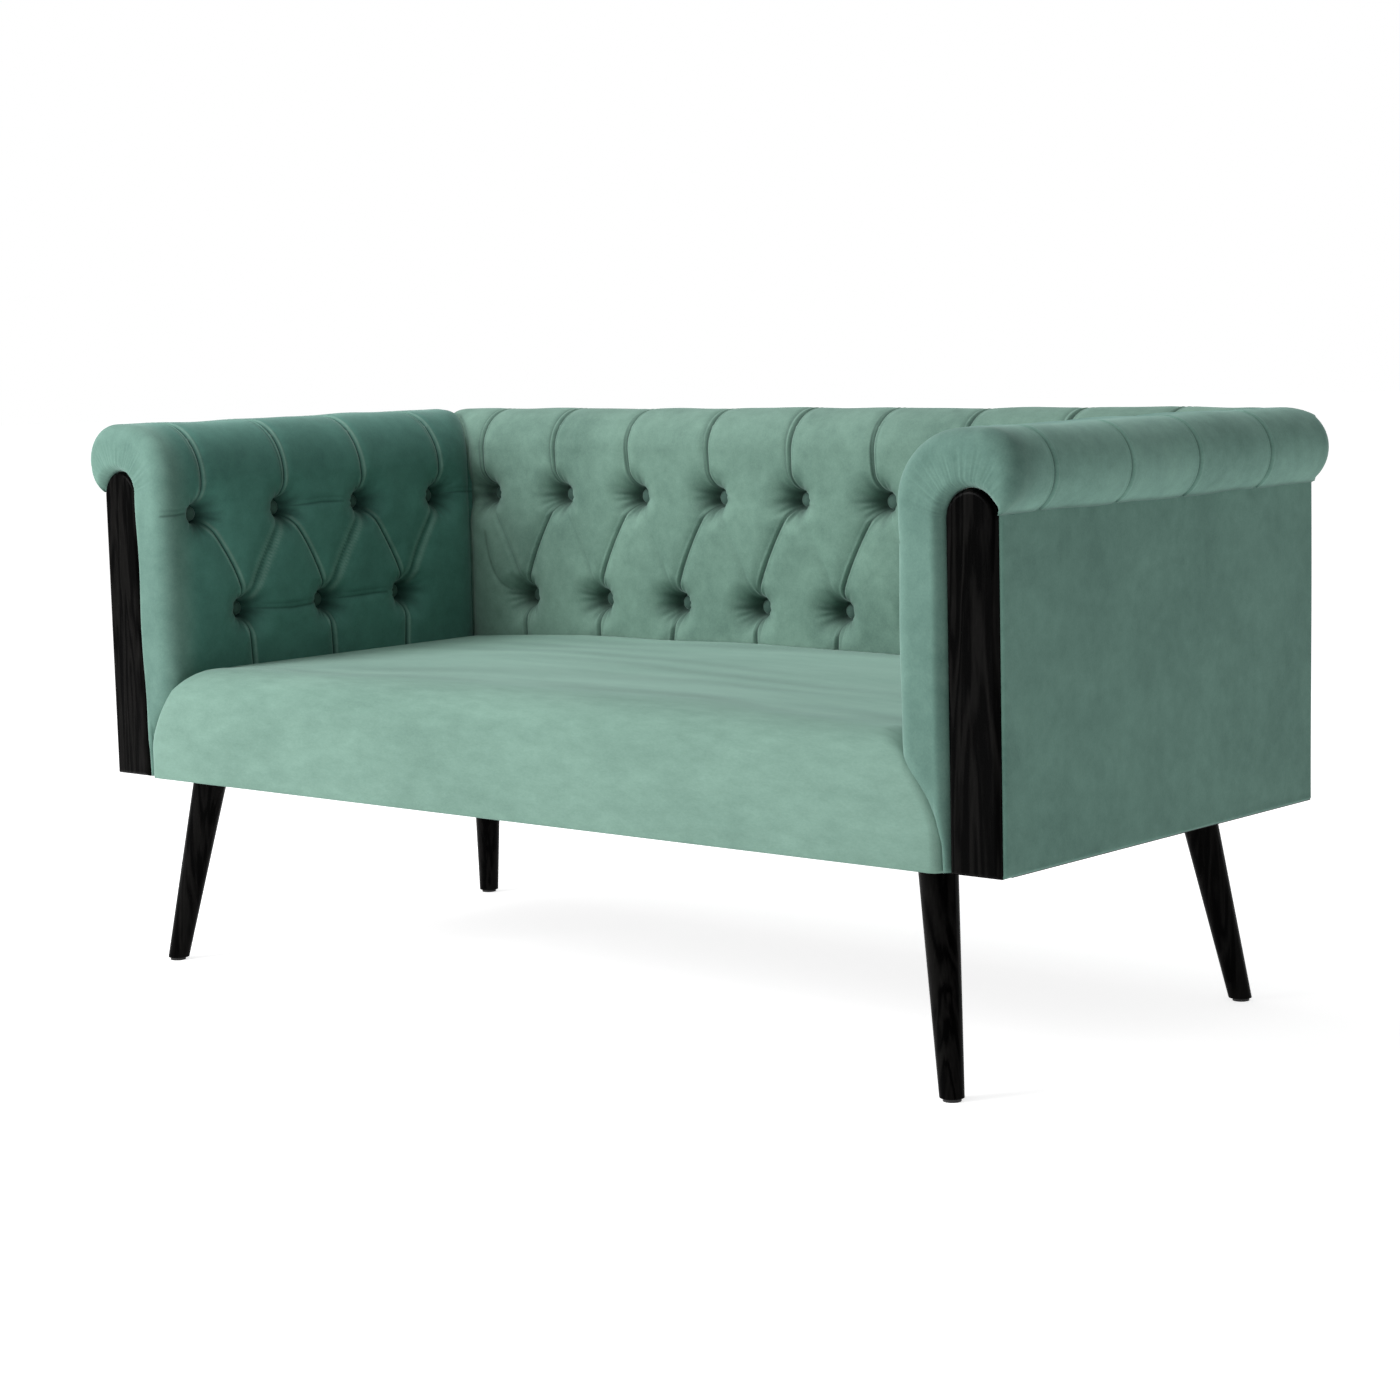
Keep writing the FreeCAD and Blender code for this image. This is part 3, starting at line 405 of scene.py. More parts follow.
# Joint between arm and back at the rear corners.
corner_slope = back_roll / arm_roll
corner_overlap = 7.0
corner_reach = 34.0
corner_depth = 15.0
crease_hold = 30.0
crease_stop = 35.0
crease_left = 0.12
slip_reach = 40.0
roll_corner = (
    arm_crown + arm_roll - roll_radius, back_crown + back_roll - roll_radius, top_height - roll_radius)
roll_corner_least = 34.0

# Hollows at the buttons.
top_row = 616.0
tuft_depth = 40.0
tuft_reach = 56.0
button_seat = 12.5
# Painted shade in the hollow round each button: its darkness and reach.
hollow_painted_shade = 0.80
hollow_painted_shade_reach = 21.0
pucker_count = 14
pucker_height = 0.8
pucker_ring = 24.0
pucker_width = 10.0

# Folds between the buttons, with their depths, softness, the darkness of their painted shade and how soon it
# fades.
fold_sway = 4.0
fall_turn = 45.0
slant_leans = (40.0, 110.0)
slant_turn = (0.20, 0.42)
climb_turn = (9.0, 55.0)
climb_shift = 2.0
no_fade = 4000.0
fall_fold = dict(reach=24.0, tips=(22.0, 9.0), middle=11.0, soft=0.9, dark=0.66, fade=no_fade)
climb_fold = dict(reach=19.0, tips=(24.0, 5.0), middle=7.5, soft=0.9, dark=0.70, fade=no_fade)
roll_fold = dict(reach=12.0, tips=(5.0, 8.0), middle=5.5, soft=0.9, dark=0.70, fade=no_fade)
strong_slant = dict(reach=34.0, tips=(24.0, 24.0), middle=10.5, soft=0.8, dark=0.66, fade=no_fade)
arm_weak_slant = dict(reach=42.0, tips=(24.0, 24.0), middle=11.0, soft=2.4, dark=0.45, fade=400.0)
fall_second = dict(reach=6.0, tips=(2.0, 0.0), middle=2.4, soft=0.9, dark=0.40, fade=60.0)
slant_second = dict(reach=6.0, tips=(3.2, 0.0), middle=1.6, soft=0.9, dark=0.42, fade=50.0)
left_second = dict(reach=6.0, tips=(3.2, 0.6), middle=2.2, soft=0.9, fade=260.0)
right_second = dict(reach=5.0, tips=(2.6, 0.0), middle=1.2, soft=0.9, fade=70.0)
second_width = 1.4
lip_height = 1.3
lip_away = 2.4
lip_width = 1.2
lip_deepest = 26.0
lip_fade = 10.0
slight_deepest = 25.0
slight_fade = 12.0


def rolled_top(inner_radius, roll):
    """Section over the top of a panel: a quarter round, a flat, then the roll turned until it is under
    itself.

    Gives depth behind the panel's face, height and distance along the cloth, at even steps.
    """
    sweep = math.pi / 2 + math.acos((roll_radius - roll_overhang) / roll_radius)
    first_length = inner_radius * math.pi / 2
    flat_length = roll - roll_radius - inner_radius
    total = first_length + flat_length + roll_radius * sweep
    along = np.linspace(0, total, round(total / cloth_step))
    first = np.clip(along / inner_radius, 0, math.pi / 2)
    flat = np.clip(along - first_length, 0, flat_length)
    last = np.clip((along - first_length - flat_length) / roll_radius, 0, sweep)
    depth = inner_radius * (1 - np.cos(first)) + flat + roll_radius * np.sin(last)
    height = top_height - inner_radius * (1 - np.sin(first)) - roll_radius * (1 - np.cos(last))
    return depth, height, along


def graded(low, high, count, centres):
    """Places from low to high, closer together near each centre: equal steps of a running total that climbs
    up to four times as fast there."""
    fine = np.linspace(low, high, 2000)
    pace = 1 + 3 * sum(np.exp(-((fine - centre) / 22.0) ** 2) for centre in centres)
    total = np.cumsum(pace)
    return np.interp(np.linspace(total[0], total[-1], count), total, fine)


def pillow(share):
    """Round flank of stuffed cloth: a quarter ellipse, upright at the fold and level where the pull ends."""
    return 1 - np.sqrt(1 - np.clip(1 - share, 0, 0.998) ** 2)


def drawn_fold(run, along, path, reach, tips, middle, soft=0.9):
    """Depth of a fold along a path: pillow flanks on both sides of the nearest point of the path, as deep as
    middle, easing to the depths at its two tips. Also gives the distances from the path and along it."""
    path = np.asarray(path, dtype=float)
    steps = np.diff(path, axis=0)
    lengths = np.hypot(steps[:, 0], steps[:, 1])
    starts = np.cumsum(lengths) - lengths
    nearest = np.full(run.shape, 1e9)
    place = np.zeros(run.shape)
    for (x, y), (dx, dy), length, start in zip(path[:-1], steps, lengths, starts):
        share = np.clip(((run - x) * dx + (along - y) * dy) / length ** 2, 0, 1)
        distance = np.hypot(run - x - share * dx, along - y - share * dy)
        closer = distance < nearest
        nearest = np.where(closer, distance, nearest)
        place = np.where(closer, start + share * length, place)
    ease = 17.0
    depth = middle + (tips[0] - middle) * np.exp(-place / ease)
    depth = depth + (tips[1] - middle) * np.exp(-(lengths.sum() - place) / ease)
    return depth * pillow(np.hypot(nearest, soft) / reach), nearest, place


def bent(first, second, turn, count=9):
    """Path between two places through one turning place: a parabola."""
    share = np.linspace(0, 1, count)[:, None]
    first, second, turn = (np.asarray(place, dtype=float) for place in (first, second, turn))
    return first * (1 - share) ** 2 + turn * 2 * share * (1 - share) + second * share ** 2


def button_hollow(run, along, place, turn):
    """Depth of the hollow at a button, flat where the button sits, the fine puckers that fan out of it, and
    the painted shade in it."""
    x = run - place[0]
    y = along - place[1]
    radius = np.hypot(x, y)
    hollow = tuft_depth * pillow((radius - button_seat) / (tuft_reach - button_seat))
    hollow = np.where(radius < button_seat, tuft_depth, hollow)
    angle = np.arctan2(y, x)
    fan = np.sin(angle * pucker_count + turn + 1.6 * np.sin(angle * 3 + turn))
    puckers = fan * pucker_height * np.exp(-((radius - pucker_ring) / pucker_width) ** 2)
    ragged = radius * (1 + 0.15 * np.sin(angle * 7 + turn))
    return hollow, puckers, hollow_painted_shade * np.exp(-(ragged / hollow_painted_shade_reach) ** 2)


def uneven(run, along, size):
    """Slow unevenness of stuffed work: crossing sine waves of unlike lengths, about one unit high."""
    first = np.sin(run / (0.9 * size) + along / (1.7 * size))
    second = np.sin(along / (0.8 * size) - run / (2.3 * size) + 1.3)
    third = 0.6 * np.sin(run / (0.53 * size) - along / (0.71 * size) + 2.1)
    return (first + second + third) / 2.6


def fold_paths(rows, ends):
    """Folds of a panel as lines of run and place along the cloth: falls from the low buttons to the seat,
    slants between the two rows with how far they lean, and climbs from the top buttons over the roll."""
    top_runs, low_runs, low_row = rows
    low_end, crown, roll_end = ends
    falls = []
    slants = []
    climbs = []
    for index, low_run in enumerate(low_runs):
        sway = fold_sway * math.sin(2.3 * index + 0.5)
        falls.append(np.array([
            (low_run, low_row), (low_run + sway, low_row - fall_turn), (low_run + 2 * sway, low_end)]))
        for top_run in top_runs:
            lean = top_run - low_run
            if slant_leans[0] < abs(lean) < slant_leans[1]:
                turn = (low_run + slant_turn[0] * lean, low_row + slant_turn[1] * (top_row - low_row))
                slants.append((lean, bent((low_run, low_row), (top_run, top_row), turn)))
    for index, top_run in enumerate(top_runs):
        sway = fold_sway * math.sin(1.9 * index + 0.8)
        turn = (top_run - climb_turn[0] + sway, top_row + climb_turn[1])
        rise = bent((top_run, top_row), (top_run - climb_shift + sway, crown), turn)
        climbs.append(np.concatenate([rise, [(top_run + 2 * sway, roll_end)]]))
    return falls, slants, climbs


def buttoning(run, along, rows, ends, strong, weak_slant):
    """Depth that buttons and folds draw a panel in by, the painted shade in them, and their lips.

    Depth is the power mean of all hollows and folds, so that neighbours merge without a step, with the thin
    second lines of each pleat added to it. Painted shade is the darkest of all lines, each a bell across its
    path, and of the hollows. Slants that lean the strong way are drawn tight, and the others are weak ones.
    Lips are low ridges on both sides of each fold, bells about a set distance from its path, lost in hollows.
    """
    top_runs, low_runs, low_row = rows
    falls, slants, climbs = fold_paths(rows, ends)
    power = 5.0
    total = np.zeros(run.shape)
    lines = np.zeros(run.shape)
    shade = np.zeros(run.shape)
    lips = np.zeros(run.shape)
    # Painted shade of the hollows and folds gathers in shade, the darkest of all at each point.
    for index, place in enumerate([(x, top_row) for x in top_runs] + [(x, low_row) for x in low_runs]):
        hollow, puckers, darkening = button_hollow(run, along, place, 1.7 * index)
        total += np.maximum(hollow, 0) ** power
        lines += puckers
        shade = np.maximum(shade, darkening)
    folds = [(path, fall_fold) for path in falls]
    folds += [(path[:-1], climb_fold) for path in climbs]
    folds += [(path[-4:], roll_fold) for path in climbs]
    seconds = [(path[:2] + (8.0, 0.0), fall_second) for path in falls]
    for index, path in enumerate(climbs):
        spread = np.linspace(0.35, 1.0, len(path) - 1)[:, None]
        left = path[:-1] - spread * (8.0 + 3.0 * math.sin(2.1 * index), -4.0)
        right = path[:-1] + spread * (6.5 + 2.5 * math.sin(1.3 * index + 1.0), 4.0)
        seconds.append((left, dict(left_second, dark=0.48 + 0.10 * math.sin(1.7 * index))))
        seconds.append((right[:-2], dict(right_second, dark=0.34 + 0.14 * math.sin(2.9 * index))))
    for lean, path in slants:
        if lean * strong > 0:
            folds.append((path, strong_slant))
            seconds.append((path[:3:-1] + (math.copysign(7.0, -lean), -2.0), slant_second))
        else:
            folds.append((path, weak_slant))
    for path, fold in folds:
        soft = fold["soft"]
        depth, nearest, place = drawn_fold(
            run, along, path, fold["reach"], fold["tips"], fold["middle"], soft)
        total += depth ** power
        darkening = fold["dark"] * np.exp(-(nearest / (0.7 + soft)) ** 2 - place / fold["fade"])
        shade = np.maximum(shade, darkening)
        beside = (nearest - lip_away - 2.2 * soft) / (lip_width + soft)
        lips = np.maximum(lips, np.exp(-beside ** 2))
    for path, fold in seconds:
        depth, nearest, place = drawn_fold(
            run, along, path, fold["reach"], fold["tips"], fold["middle"], fold["soft"])
        lines += depth
        darkening = fold["dark"] * np.exp(-(nearest / second_width) ** 2 - place / fold["fade"])
        shade = np.maximum(shade, darkening)
    sunk = np.minimum(total ** (1 / power), tuft_depth + 0.5)
    lips *= np.clip((lip_deepest - sunk) / lip_fade, 0, 1)
    return sunk + lines - lip_height * lips, shade, lips


def spared(sunk):
    """Share of a slight fold that is left where the skin is already drawn in: all of it at small depths, then
    falling in a straight line to none."""
    return np.clip((slight_deepest - sunk) / slight_fade, 0, 1)


def eased(share):
    """Soft start and stop between nought and one: three times the square less twice the cube."""
    return share * share * (3 - 2 * share)


def guide(along, *paths):
    """Run of one line of cloth at each place along it, through the given paths."""
    line = np.concatenate(paths)
    line = line[np.argsort(line[:, 1], kind="stable")]
    return np.interp(along, line[:, 1], line[:, 0])


def crowded(start, guides, end, count):
    """Columns across a panel: each band between neighbouring guides takes an even share of columns, drawn
    towards both guides by a sine wave, so that the folds run along columns."""
    bounds = np.stack([start, *guides, end], axis=1)
    even = np.arange(count) / count
    share = even - 0.7 * np.sin(2 * math.pi * even) / (2 * math.pi)
    bands = bounds[:, :-1, None] + np.diff(bounds, axis=1)[:, :, None] * share
    return np.concatenate([bands.reshape(len(bounds), -1), bounds[:, -1:]], axis=1)


def grid_normals(grid):
    """Unit normals of a grid of points: across its rows, then along its columns."""
    normal = np.cross(np.gradient(grid, axis=0), np.gradient(grid, axis=1))
    return normal / np.maximum(np.linalg.norm(normal, axis=-1, keepdims=True), 1e-9)


def rounded_corner(grid, under=0.0):
    """Turn the roll round the rear corner as part of a ball about the crossing of the two rolls' middles.
    Below the ball's middle a skin that goes under the other one stays that far inside the rear roll."""
    x, y, z = roll_corner
    across = np.maximum(np.abs(grid[..., 0]) - x, 0)
    back = np.maximum(grid[..., 1] - y, 0)
    rise = grid[..., 2] - z
    radius = np.sqrt(np.maximum((roll_radius + 1.0) ** 2 - rise ** 2, roll_corner_least ** 2))
    share = np.minimum(1, radius / np.maximum(np.hypot(across, back), 1e-6))
    rear = np.sqrt(np.maximum((roll_radius - under) ** 2 - rise ** 2, 1.0))
    covered = (under > 0) & (rise < 0)
    share = np.where(covered, np.minimum(share, rear / np.maximum(back, 1e-6)), share)
    inside = (across > 0) & (back > 0)
    grid[..., 0] = np.where(inside, np.sign(grid[..., 0]) * (x + across * share), grid[..., 0])
    grid[..., 1] = np.where(inside, y + back * share, grid[..., 1])
    return grid


def corner_fade(along, ends):
    """Share of the corner's crease that is left: all of it to just past the crown, falling to a shallow seam
    under the roll."""
    stop = ends[2] - crease_stop
    left = np.clip((stop - along) / (stop - crease_hold - ends[1]), 0, 1)
    return crease_left + (1 - crease_left) * left


def painted_under_roll_shadow(along, ends):
    """Painted shadow under the roll: a bell that is darkest at the tack line and stays so behind it."""
    return under_roll_shadow_dark * np.exp(-(np.minimum(along - ends[2], 0) / under_roll_shadow_width) ** 2)


def shell(piece):
    """Give a skin the thickness of velvet and wadding, inwards."""
    solid = piece.modifiers.new("thickness", "SOLIDIFY")
    solid.thickness = skin_thickness
    solid.offset = -1.0


# The arm's own section and buttons, and the grid of its skin.
arm_inner_radius = 80.0
arm_spring = top_height - arm_inner_radius
arm_top_runs = [-270.0, -120.0, 30.0, 180.0]
arm_low_runs = [-195.0, -45.0, 105.0]
arm_low_row = 480.0
arm_buttons = (arm_top_runs, arm_low_runs, arm_low_row)
arm_level_folds = [
    [(-270.0, top_row), (-300.0, top_row + 3), (-345.0, top_row + 1)],
    [(-120.0, top_row), (-60.0, top_row + 5), (-20.0, top_row + 4)],
    [(180.0, top_row), (215.0, top_row + 4), (245.0, top_row + 2)],
    [(-195.0, arm_low_row), (-120.0, arm_low_row - 4), (-45.0, arm_low_row)],
    [(-45.0, arm_low_row), (20.0, arm_low_row + 3), (60.0, arm_low_row + 4)],
]
arm_climb_rows = 118
arm_front_columns = 20
arm_edge_columns = 14
arm_fold_columns = 56

# Its front: the facing that it meets, its round edge and where it is set back.
facing_half = 33.5
facing_middle = 100.0
facing_spring = 643.0
edge_round = 24.0
narrow_width = 50.0
narrow_set_back = 12.0
tack_reach = 13.0
tack_set_back = 15.0
tack_hold = 9.0
low_front = 430.0
low_fall = 110.0
low_set_back = 5.0
seat_hug = 24.0
seat_set_back = 16.0
tuck_set_backs = np.array([[8.0], [16.0], [24.0]])
arch_foot = 630.0
arch_rise = 40.0
gather_height = 0.45
gather_run = -385.0
gather_width = 30.0

# The seat's end, which the arm front goes behind.
seat_foot = 258.0
seat_spring = 300.0
seat_edge = 412.0
seat_end = (575.0, 95.0)
seat_power = 1.5
seat_tuck = 14.0
seat_fall = (50.0, 6.0)


def end_curve(share):
    """Outline of the seat's end: height left at a share of its reach, a quarter of a flattened ellipse."""
    return (1 - np.clip(share, 0, 1) ** seat_power) ** (1 / seat_power)


def seat_line(depth):
    """Height at which the arm front goes behind the end of the seat: its outline, then down to the foot. Also
    gives how much of that last fall is done."""
    reach = (depth + arm_crown - seat_end[0]) / seat_end[1]
    line = seat_spring + (seat_edge - seat_spring) * end_curve(reach) - seat_tuck
    fall = eased(np.clip((depth - seat_fall[0]) / seat_fall[1], 0, 1))
    return line - (line - seat_foot - 1) * fall, fall


def seat_gap(depth, height):
    """How far a place on the arm front is from the seat's end: the height of the right triangle whose legs
    are its distances upwards and sideways. Also gives the width of front that is left there."""
    rise = np.clip((height + seat_tuck - seat_spring) / (seat_edge - seat_spring), 0, 1)
    edge = seat_end[0] - arm_crown + seat_end[1] * end_curve(rise)
    beside = np.where(rise < 1, np.maximum(depth - edge, 0), 1000.0)
    line, fall = seat_line(depth)
    above = np.maximum(height - line, 0) + 300.0 * fall
    gap = above * beside / np.maximum(np.hypot(above, beside), 1e-6)
    return gap, facing_middle - facing_half - edge


def plain_arm():
    """Right arm before it is buttoned, as a grid of points.

    Rows climb the inside of the arm, go over the roll and under it. Columns start behind the facing, cross
    the padded front, turn round the edge and run to the slanting corner joint with the back. Also gives each
    point's run and place along the cloth, how far the front columns reach from the facing, and the cloth's
    foot, crown and end.
    """
    roll_depth, roll_height, roll_along = rolled_top(arm_inner_radius, arm_roll)
    foot = float(seat_line(np.array(0.0))[0])
    climb = graded(foot, arm_spring, arm_climb_rows, (arm_low_row, top_row))[:-1]
    upright = len(climb)
    last = upright + len(roll_along) - 1
    stop = math.asin((roll_height[-1] - facing_spring) / facing_half)
    turn = stop + (math.pi - stop) * (1 - roll_along / roll_along[-1])

    def section(start, rolled, end):
        """One measure of every row: upright, over the roll and tucked under it."""
        return np.concatenate([np.full(upright, start), rolled, end])[:, None]

    edge_depth = section(0.0, roll_depth, roll_depth[-1] + tuck_steps[:, 0])
    edge_height = section(arm_spring, roll_height, roll_height[-1] + tuck_steps[:, 1])
    arch_depth = section(
        facing_middle - facing_half, facing_middle + facing_half * np.cos(turn),
        np.full(len(tuck_steps), facing_middle + facing_half))
    arch_height = section(
        facing_spring, facing_spring + facing_half * np.sin(turn), np.full(len(tuck_steps), facing_spring))
    width = np.hypot(edge_depth - arch_depth, edge_height - arch_height)
    width[:upright] = facing_middle - facing_half
    bend = np.minimum(edge_round, 0.55 * width)
    front = np.linspace(0, 1, arm_front_columns)[None, :-1] ** 1.3
    sweep = np.linspace(0, math.pi / 2, arm_edge_columns)[None, :-1]
    reach = np.concatenate([front * (width - bend), width - bend + bend * np.sin(sweep)], axis=1)
    front_y = border_front + narrow_set_back * np.clip(1 - width / narrow_width, 0, 1) ** 1.5
    edge_y = front_y + bend
    rear_y = back_crown + edge_depth * corner_slope + corner_overlap
    cloth = np.concatenate([climb, arm_spring + roll_along, arm_spring + roll_along[-1] + tuck_steps[:, 2]])
    ends = (foot, arm_spring + arm_inner_radius * math.pi / 2, arm_spring + roll_along[-1])
    falls, slants, climbs = fold_paths(arm_buttons, ends)
    guides = [
        guide(cloth, fall, slant[1:-1], rise)
        for fall, (lean, slant), rise in zip(falls, [pair for pair in slants if pair[0] < 0], climbs)]
    guides.append(guide(cloth, climbs[-1]))
    run_y = crowded(edge_y[:, 0], guides, rear_y[:, 0], arm_fold_columns)
    share = np.concatenate([reach / width, np.ones(run_y.shape)], axis=1)
    depth = arch_depth + (edge_depth - arch_depth) * share
    height = arch_height + (edge_height - arch_height) * share
    low, _ = seat_line(depth[0])
    head = facing_spring + (arm_spring - facing_spring) * share[0]
    height[:upright] = low + (head - low) * ((climb - foot) / (arm_spring - foot))[:, None]
    lead = front.shape[1]
    tacked = np.minimum(tack_set_back, 0.6 * width) * np.clip(1 - reach[:, :lead] / tack_reach, 0, 1) ** 2
    y = np.concatenate([front_y + tacked, front_y + bend * (1 - np.cos(sweep)), run_y], axis=1)
    ahead_of = share < 1
    y += low_set_back * eased(np.clip((low_front - height) / low_fall, 0, 1)) * (1 - share)
    gap, left = seat_gap(depth, height)
    under = np.clip(1 - gap / np.clip(0.75 * left, 4.0, seat_hug), 0, 1) * ahead_of
    under[upright:] = 0
    y += seat_set_back * (1 - np.sqrt(1 - under ** 2)) * (1 - share ** 6)
    y[last + 1:] += tuck_set_backs * ahead_of[last + 1:]
    depth[last + 1:] = np.where(ahead_of[last + 1:], depth[last], depth[last + 1:])
    height[last + 1:] = np.where(ahead_of[last + 1:], height[last], height[last + 1:])
    grid = np.stack([arm_crown + depth, y, height], axis=-1)

    back_way = np.concatenate([
        bend * math.pi / 2 + width - bend - reach[:, :lead], bend * (math.pi / 2 - sweep)], axis=1)
    run = np.concatenate([edge_y - back_way, run_y], axis=1)
    along = height.copy()
    along[upright:] = cloth[upright:, None]
    return grid, run, along, reach, ends


def arm_skin():
    """Right arm's skin, its painted shade and the painted shade of its inner face.

    Each point of the plain arm is drawn in along the grid's normal, by the buttoning, the corner's crease,
    slight level folds, gathers round the arch and a slow wave. Its rear end then slips along the slanting
    joint, so that it still meets the back.
    """
    plain, run, along, reach, ends = plain_arm()
    lead = reach.shape[1]
    y = plain[..., 1]
    edge_y = y[:, lead:lead + 1]
    rear_y = y[:, -1:]
    sunk, shade, lips = buttoning(run, along, arm_buttons, ends, -1, arm_weak_slant)
    crease = corner_depth * corner_fade(along, ends)
    slight = crease * pillow(np.clip((rear_y - corner_overlap - y) / corner_reach, 0, 1))
    for path in arm_level_folds:
        first = np.array(path)
        for line, width, middle in ((first, 14.0, 5.0), (first + (0.0, 7.0), 6.0, 2.0)):
            depth, nearest, _ = drawn_fold(run, along, line, width, (0.0, 0.0), middle)
            slight += depth
            # Painted shade along each slight fold.
            shade = np.maximum(shade, 0.09 * middle * np.exp(-(nearest / 1.6) ** 2))
    sunk += slight * spared(sunk)
    gathers = np.sin(along / 1.5 + 2.4 * np.sin(along / 7.7) + 1.3 * np.sin(along / 3.1))
    arched = np.clip((along - arch_foot) / arch_rise, 0, 1)
    sunk += gather_height * gathers * arched * np.exp(-((run - gather_run) / gather_width) ** 2)
    sunk += stuffing_wave * uneven(run, along, 34.0) * np.clip((rear_y - y) / stuffing_calm, 0, 1)
    sunk[:, :lead] *= np.clip(reach / tack_hold, 0, 1)
    grid = plain - grid_normals(plain) * sunk[..., None]
    slip = (grid[:, -1:, 0] - plain[:, -1:, 0]) * corner_slope
    grid[..., 1] += slip * np.clip(1 - (rear_y - y) / slip_reach, 0, 1) ** 2
    grid = rounded_corner(grid, under=1.5)
    rear_edge = roll_corner[1] + roll_radius - roll_overhang
    tucked = grid[-len(tuck_steps):, :, 1]
    grid[-len(tuck_steps):, :, 1] = np.minimum(tucked, rear_edge + tuck_steps[:, :1])
    inside = eased(np.clip((run - edge_y + 12.0) / 48.0, 0, 1))
    # Painted shade on the inner face, up to just past the crown, lifted along the lips as a painted
    # highlight.
    lie = inside * np.clip((ends[1] + 50.0 - along) / 40.0, 0, 1) * (1 - 0.95 * lips)
    # Painted shade along the top of the roll, darkening where the lamps light it.
    painted_crest_shade = 0.18 * inside * np.exp(-((along - 715.0) / 50.0) ** 2)
    # All painted shade together: folds, hollows, under the roll, the roll's top, and a third darker over the
    # front border.
    bare = (1 - shade) * (1 - painted_under_roll_shadow(along, ends)) * (1 - painted_crest_shade) * (0.67 + 0.33 * inside)
    return grid, 1 - bare, lie


arm_grid, arm_shade, arm_lie = arm_skin()
for side, turned in (("right", False), ("left", True)):
    points = arm_grid * ((-1.0, 1.0, 1.0) if turned else (1.0, 1.0, 1.0))
    faces = grid_faces(*points.shape[:2], turned=turned)
    arm = new_piece(side + "_arm_buttoned_velvet", points, faces, arm_velvet, shade=arm_shade, lie=arm_lie)
    shell(arm)
    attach(arm, "root")
    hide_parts(side + "_arm_tufted_cover", side + "_arm_front_border", side + "_arm_foam")


# Buttoned back: the same velvet work between the two arms, one button more in its top row than in its
# low row, with a pleat over the roll from each top button.
# The back's copy of the one velvet, its colour set for how light falls on the back: painted light.
back_velvet = velvet(
    "green_velvet_back_painted_light", dark=(0.100, 0.180, 0.145), light=(0.170, 0.285, 0.230), brush=7.0, shaded=True)
back_inner_radius = 58.0
back_spring = top_height - back_inner_radius
back_pitch = 147.0
back_top_runs = [back_pitch * index for index in range(-4, 5)]
back_low_runs = [back_pitch * (index + 0.5) for index in range(-4, 4)]
back_low_row = 466.0
back_buttons = (back_top_runs, back_low_runs, back_low_row)
back_foot = 392.0
back_climb_rows = 124
back_fold_columns = 60
back_end_run = -575.0
back_weak_slant = dict(arm_weak_slant, middle=7.0, fade=48.0)
back_end_folds = (((588.0, top_row), (622.0, 556.0)), ((514.5, back_low_row), (588.0, 560.0)))


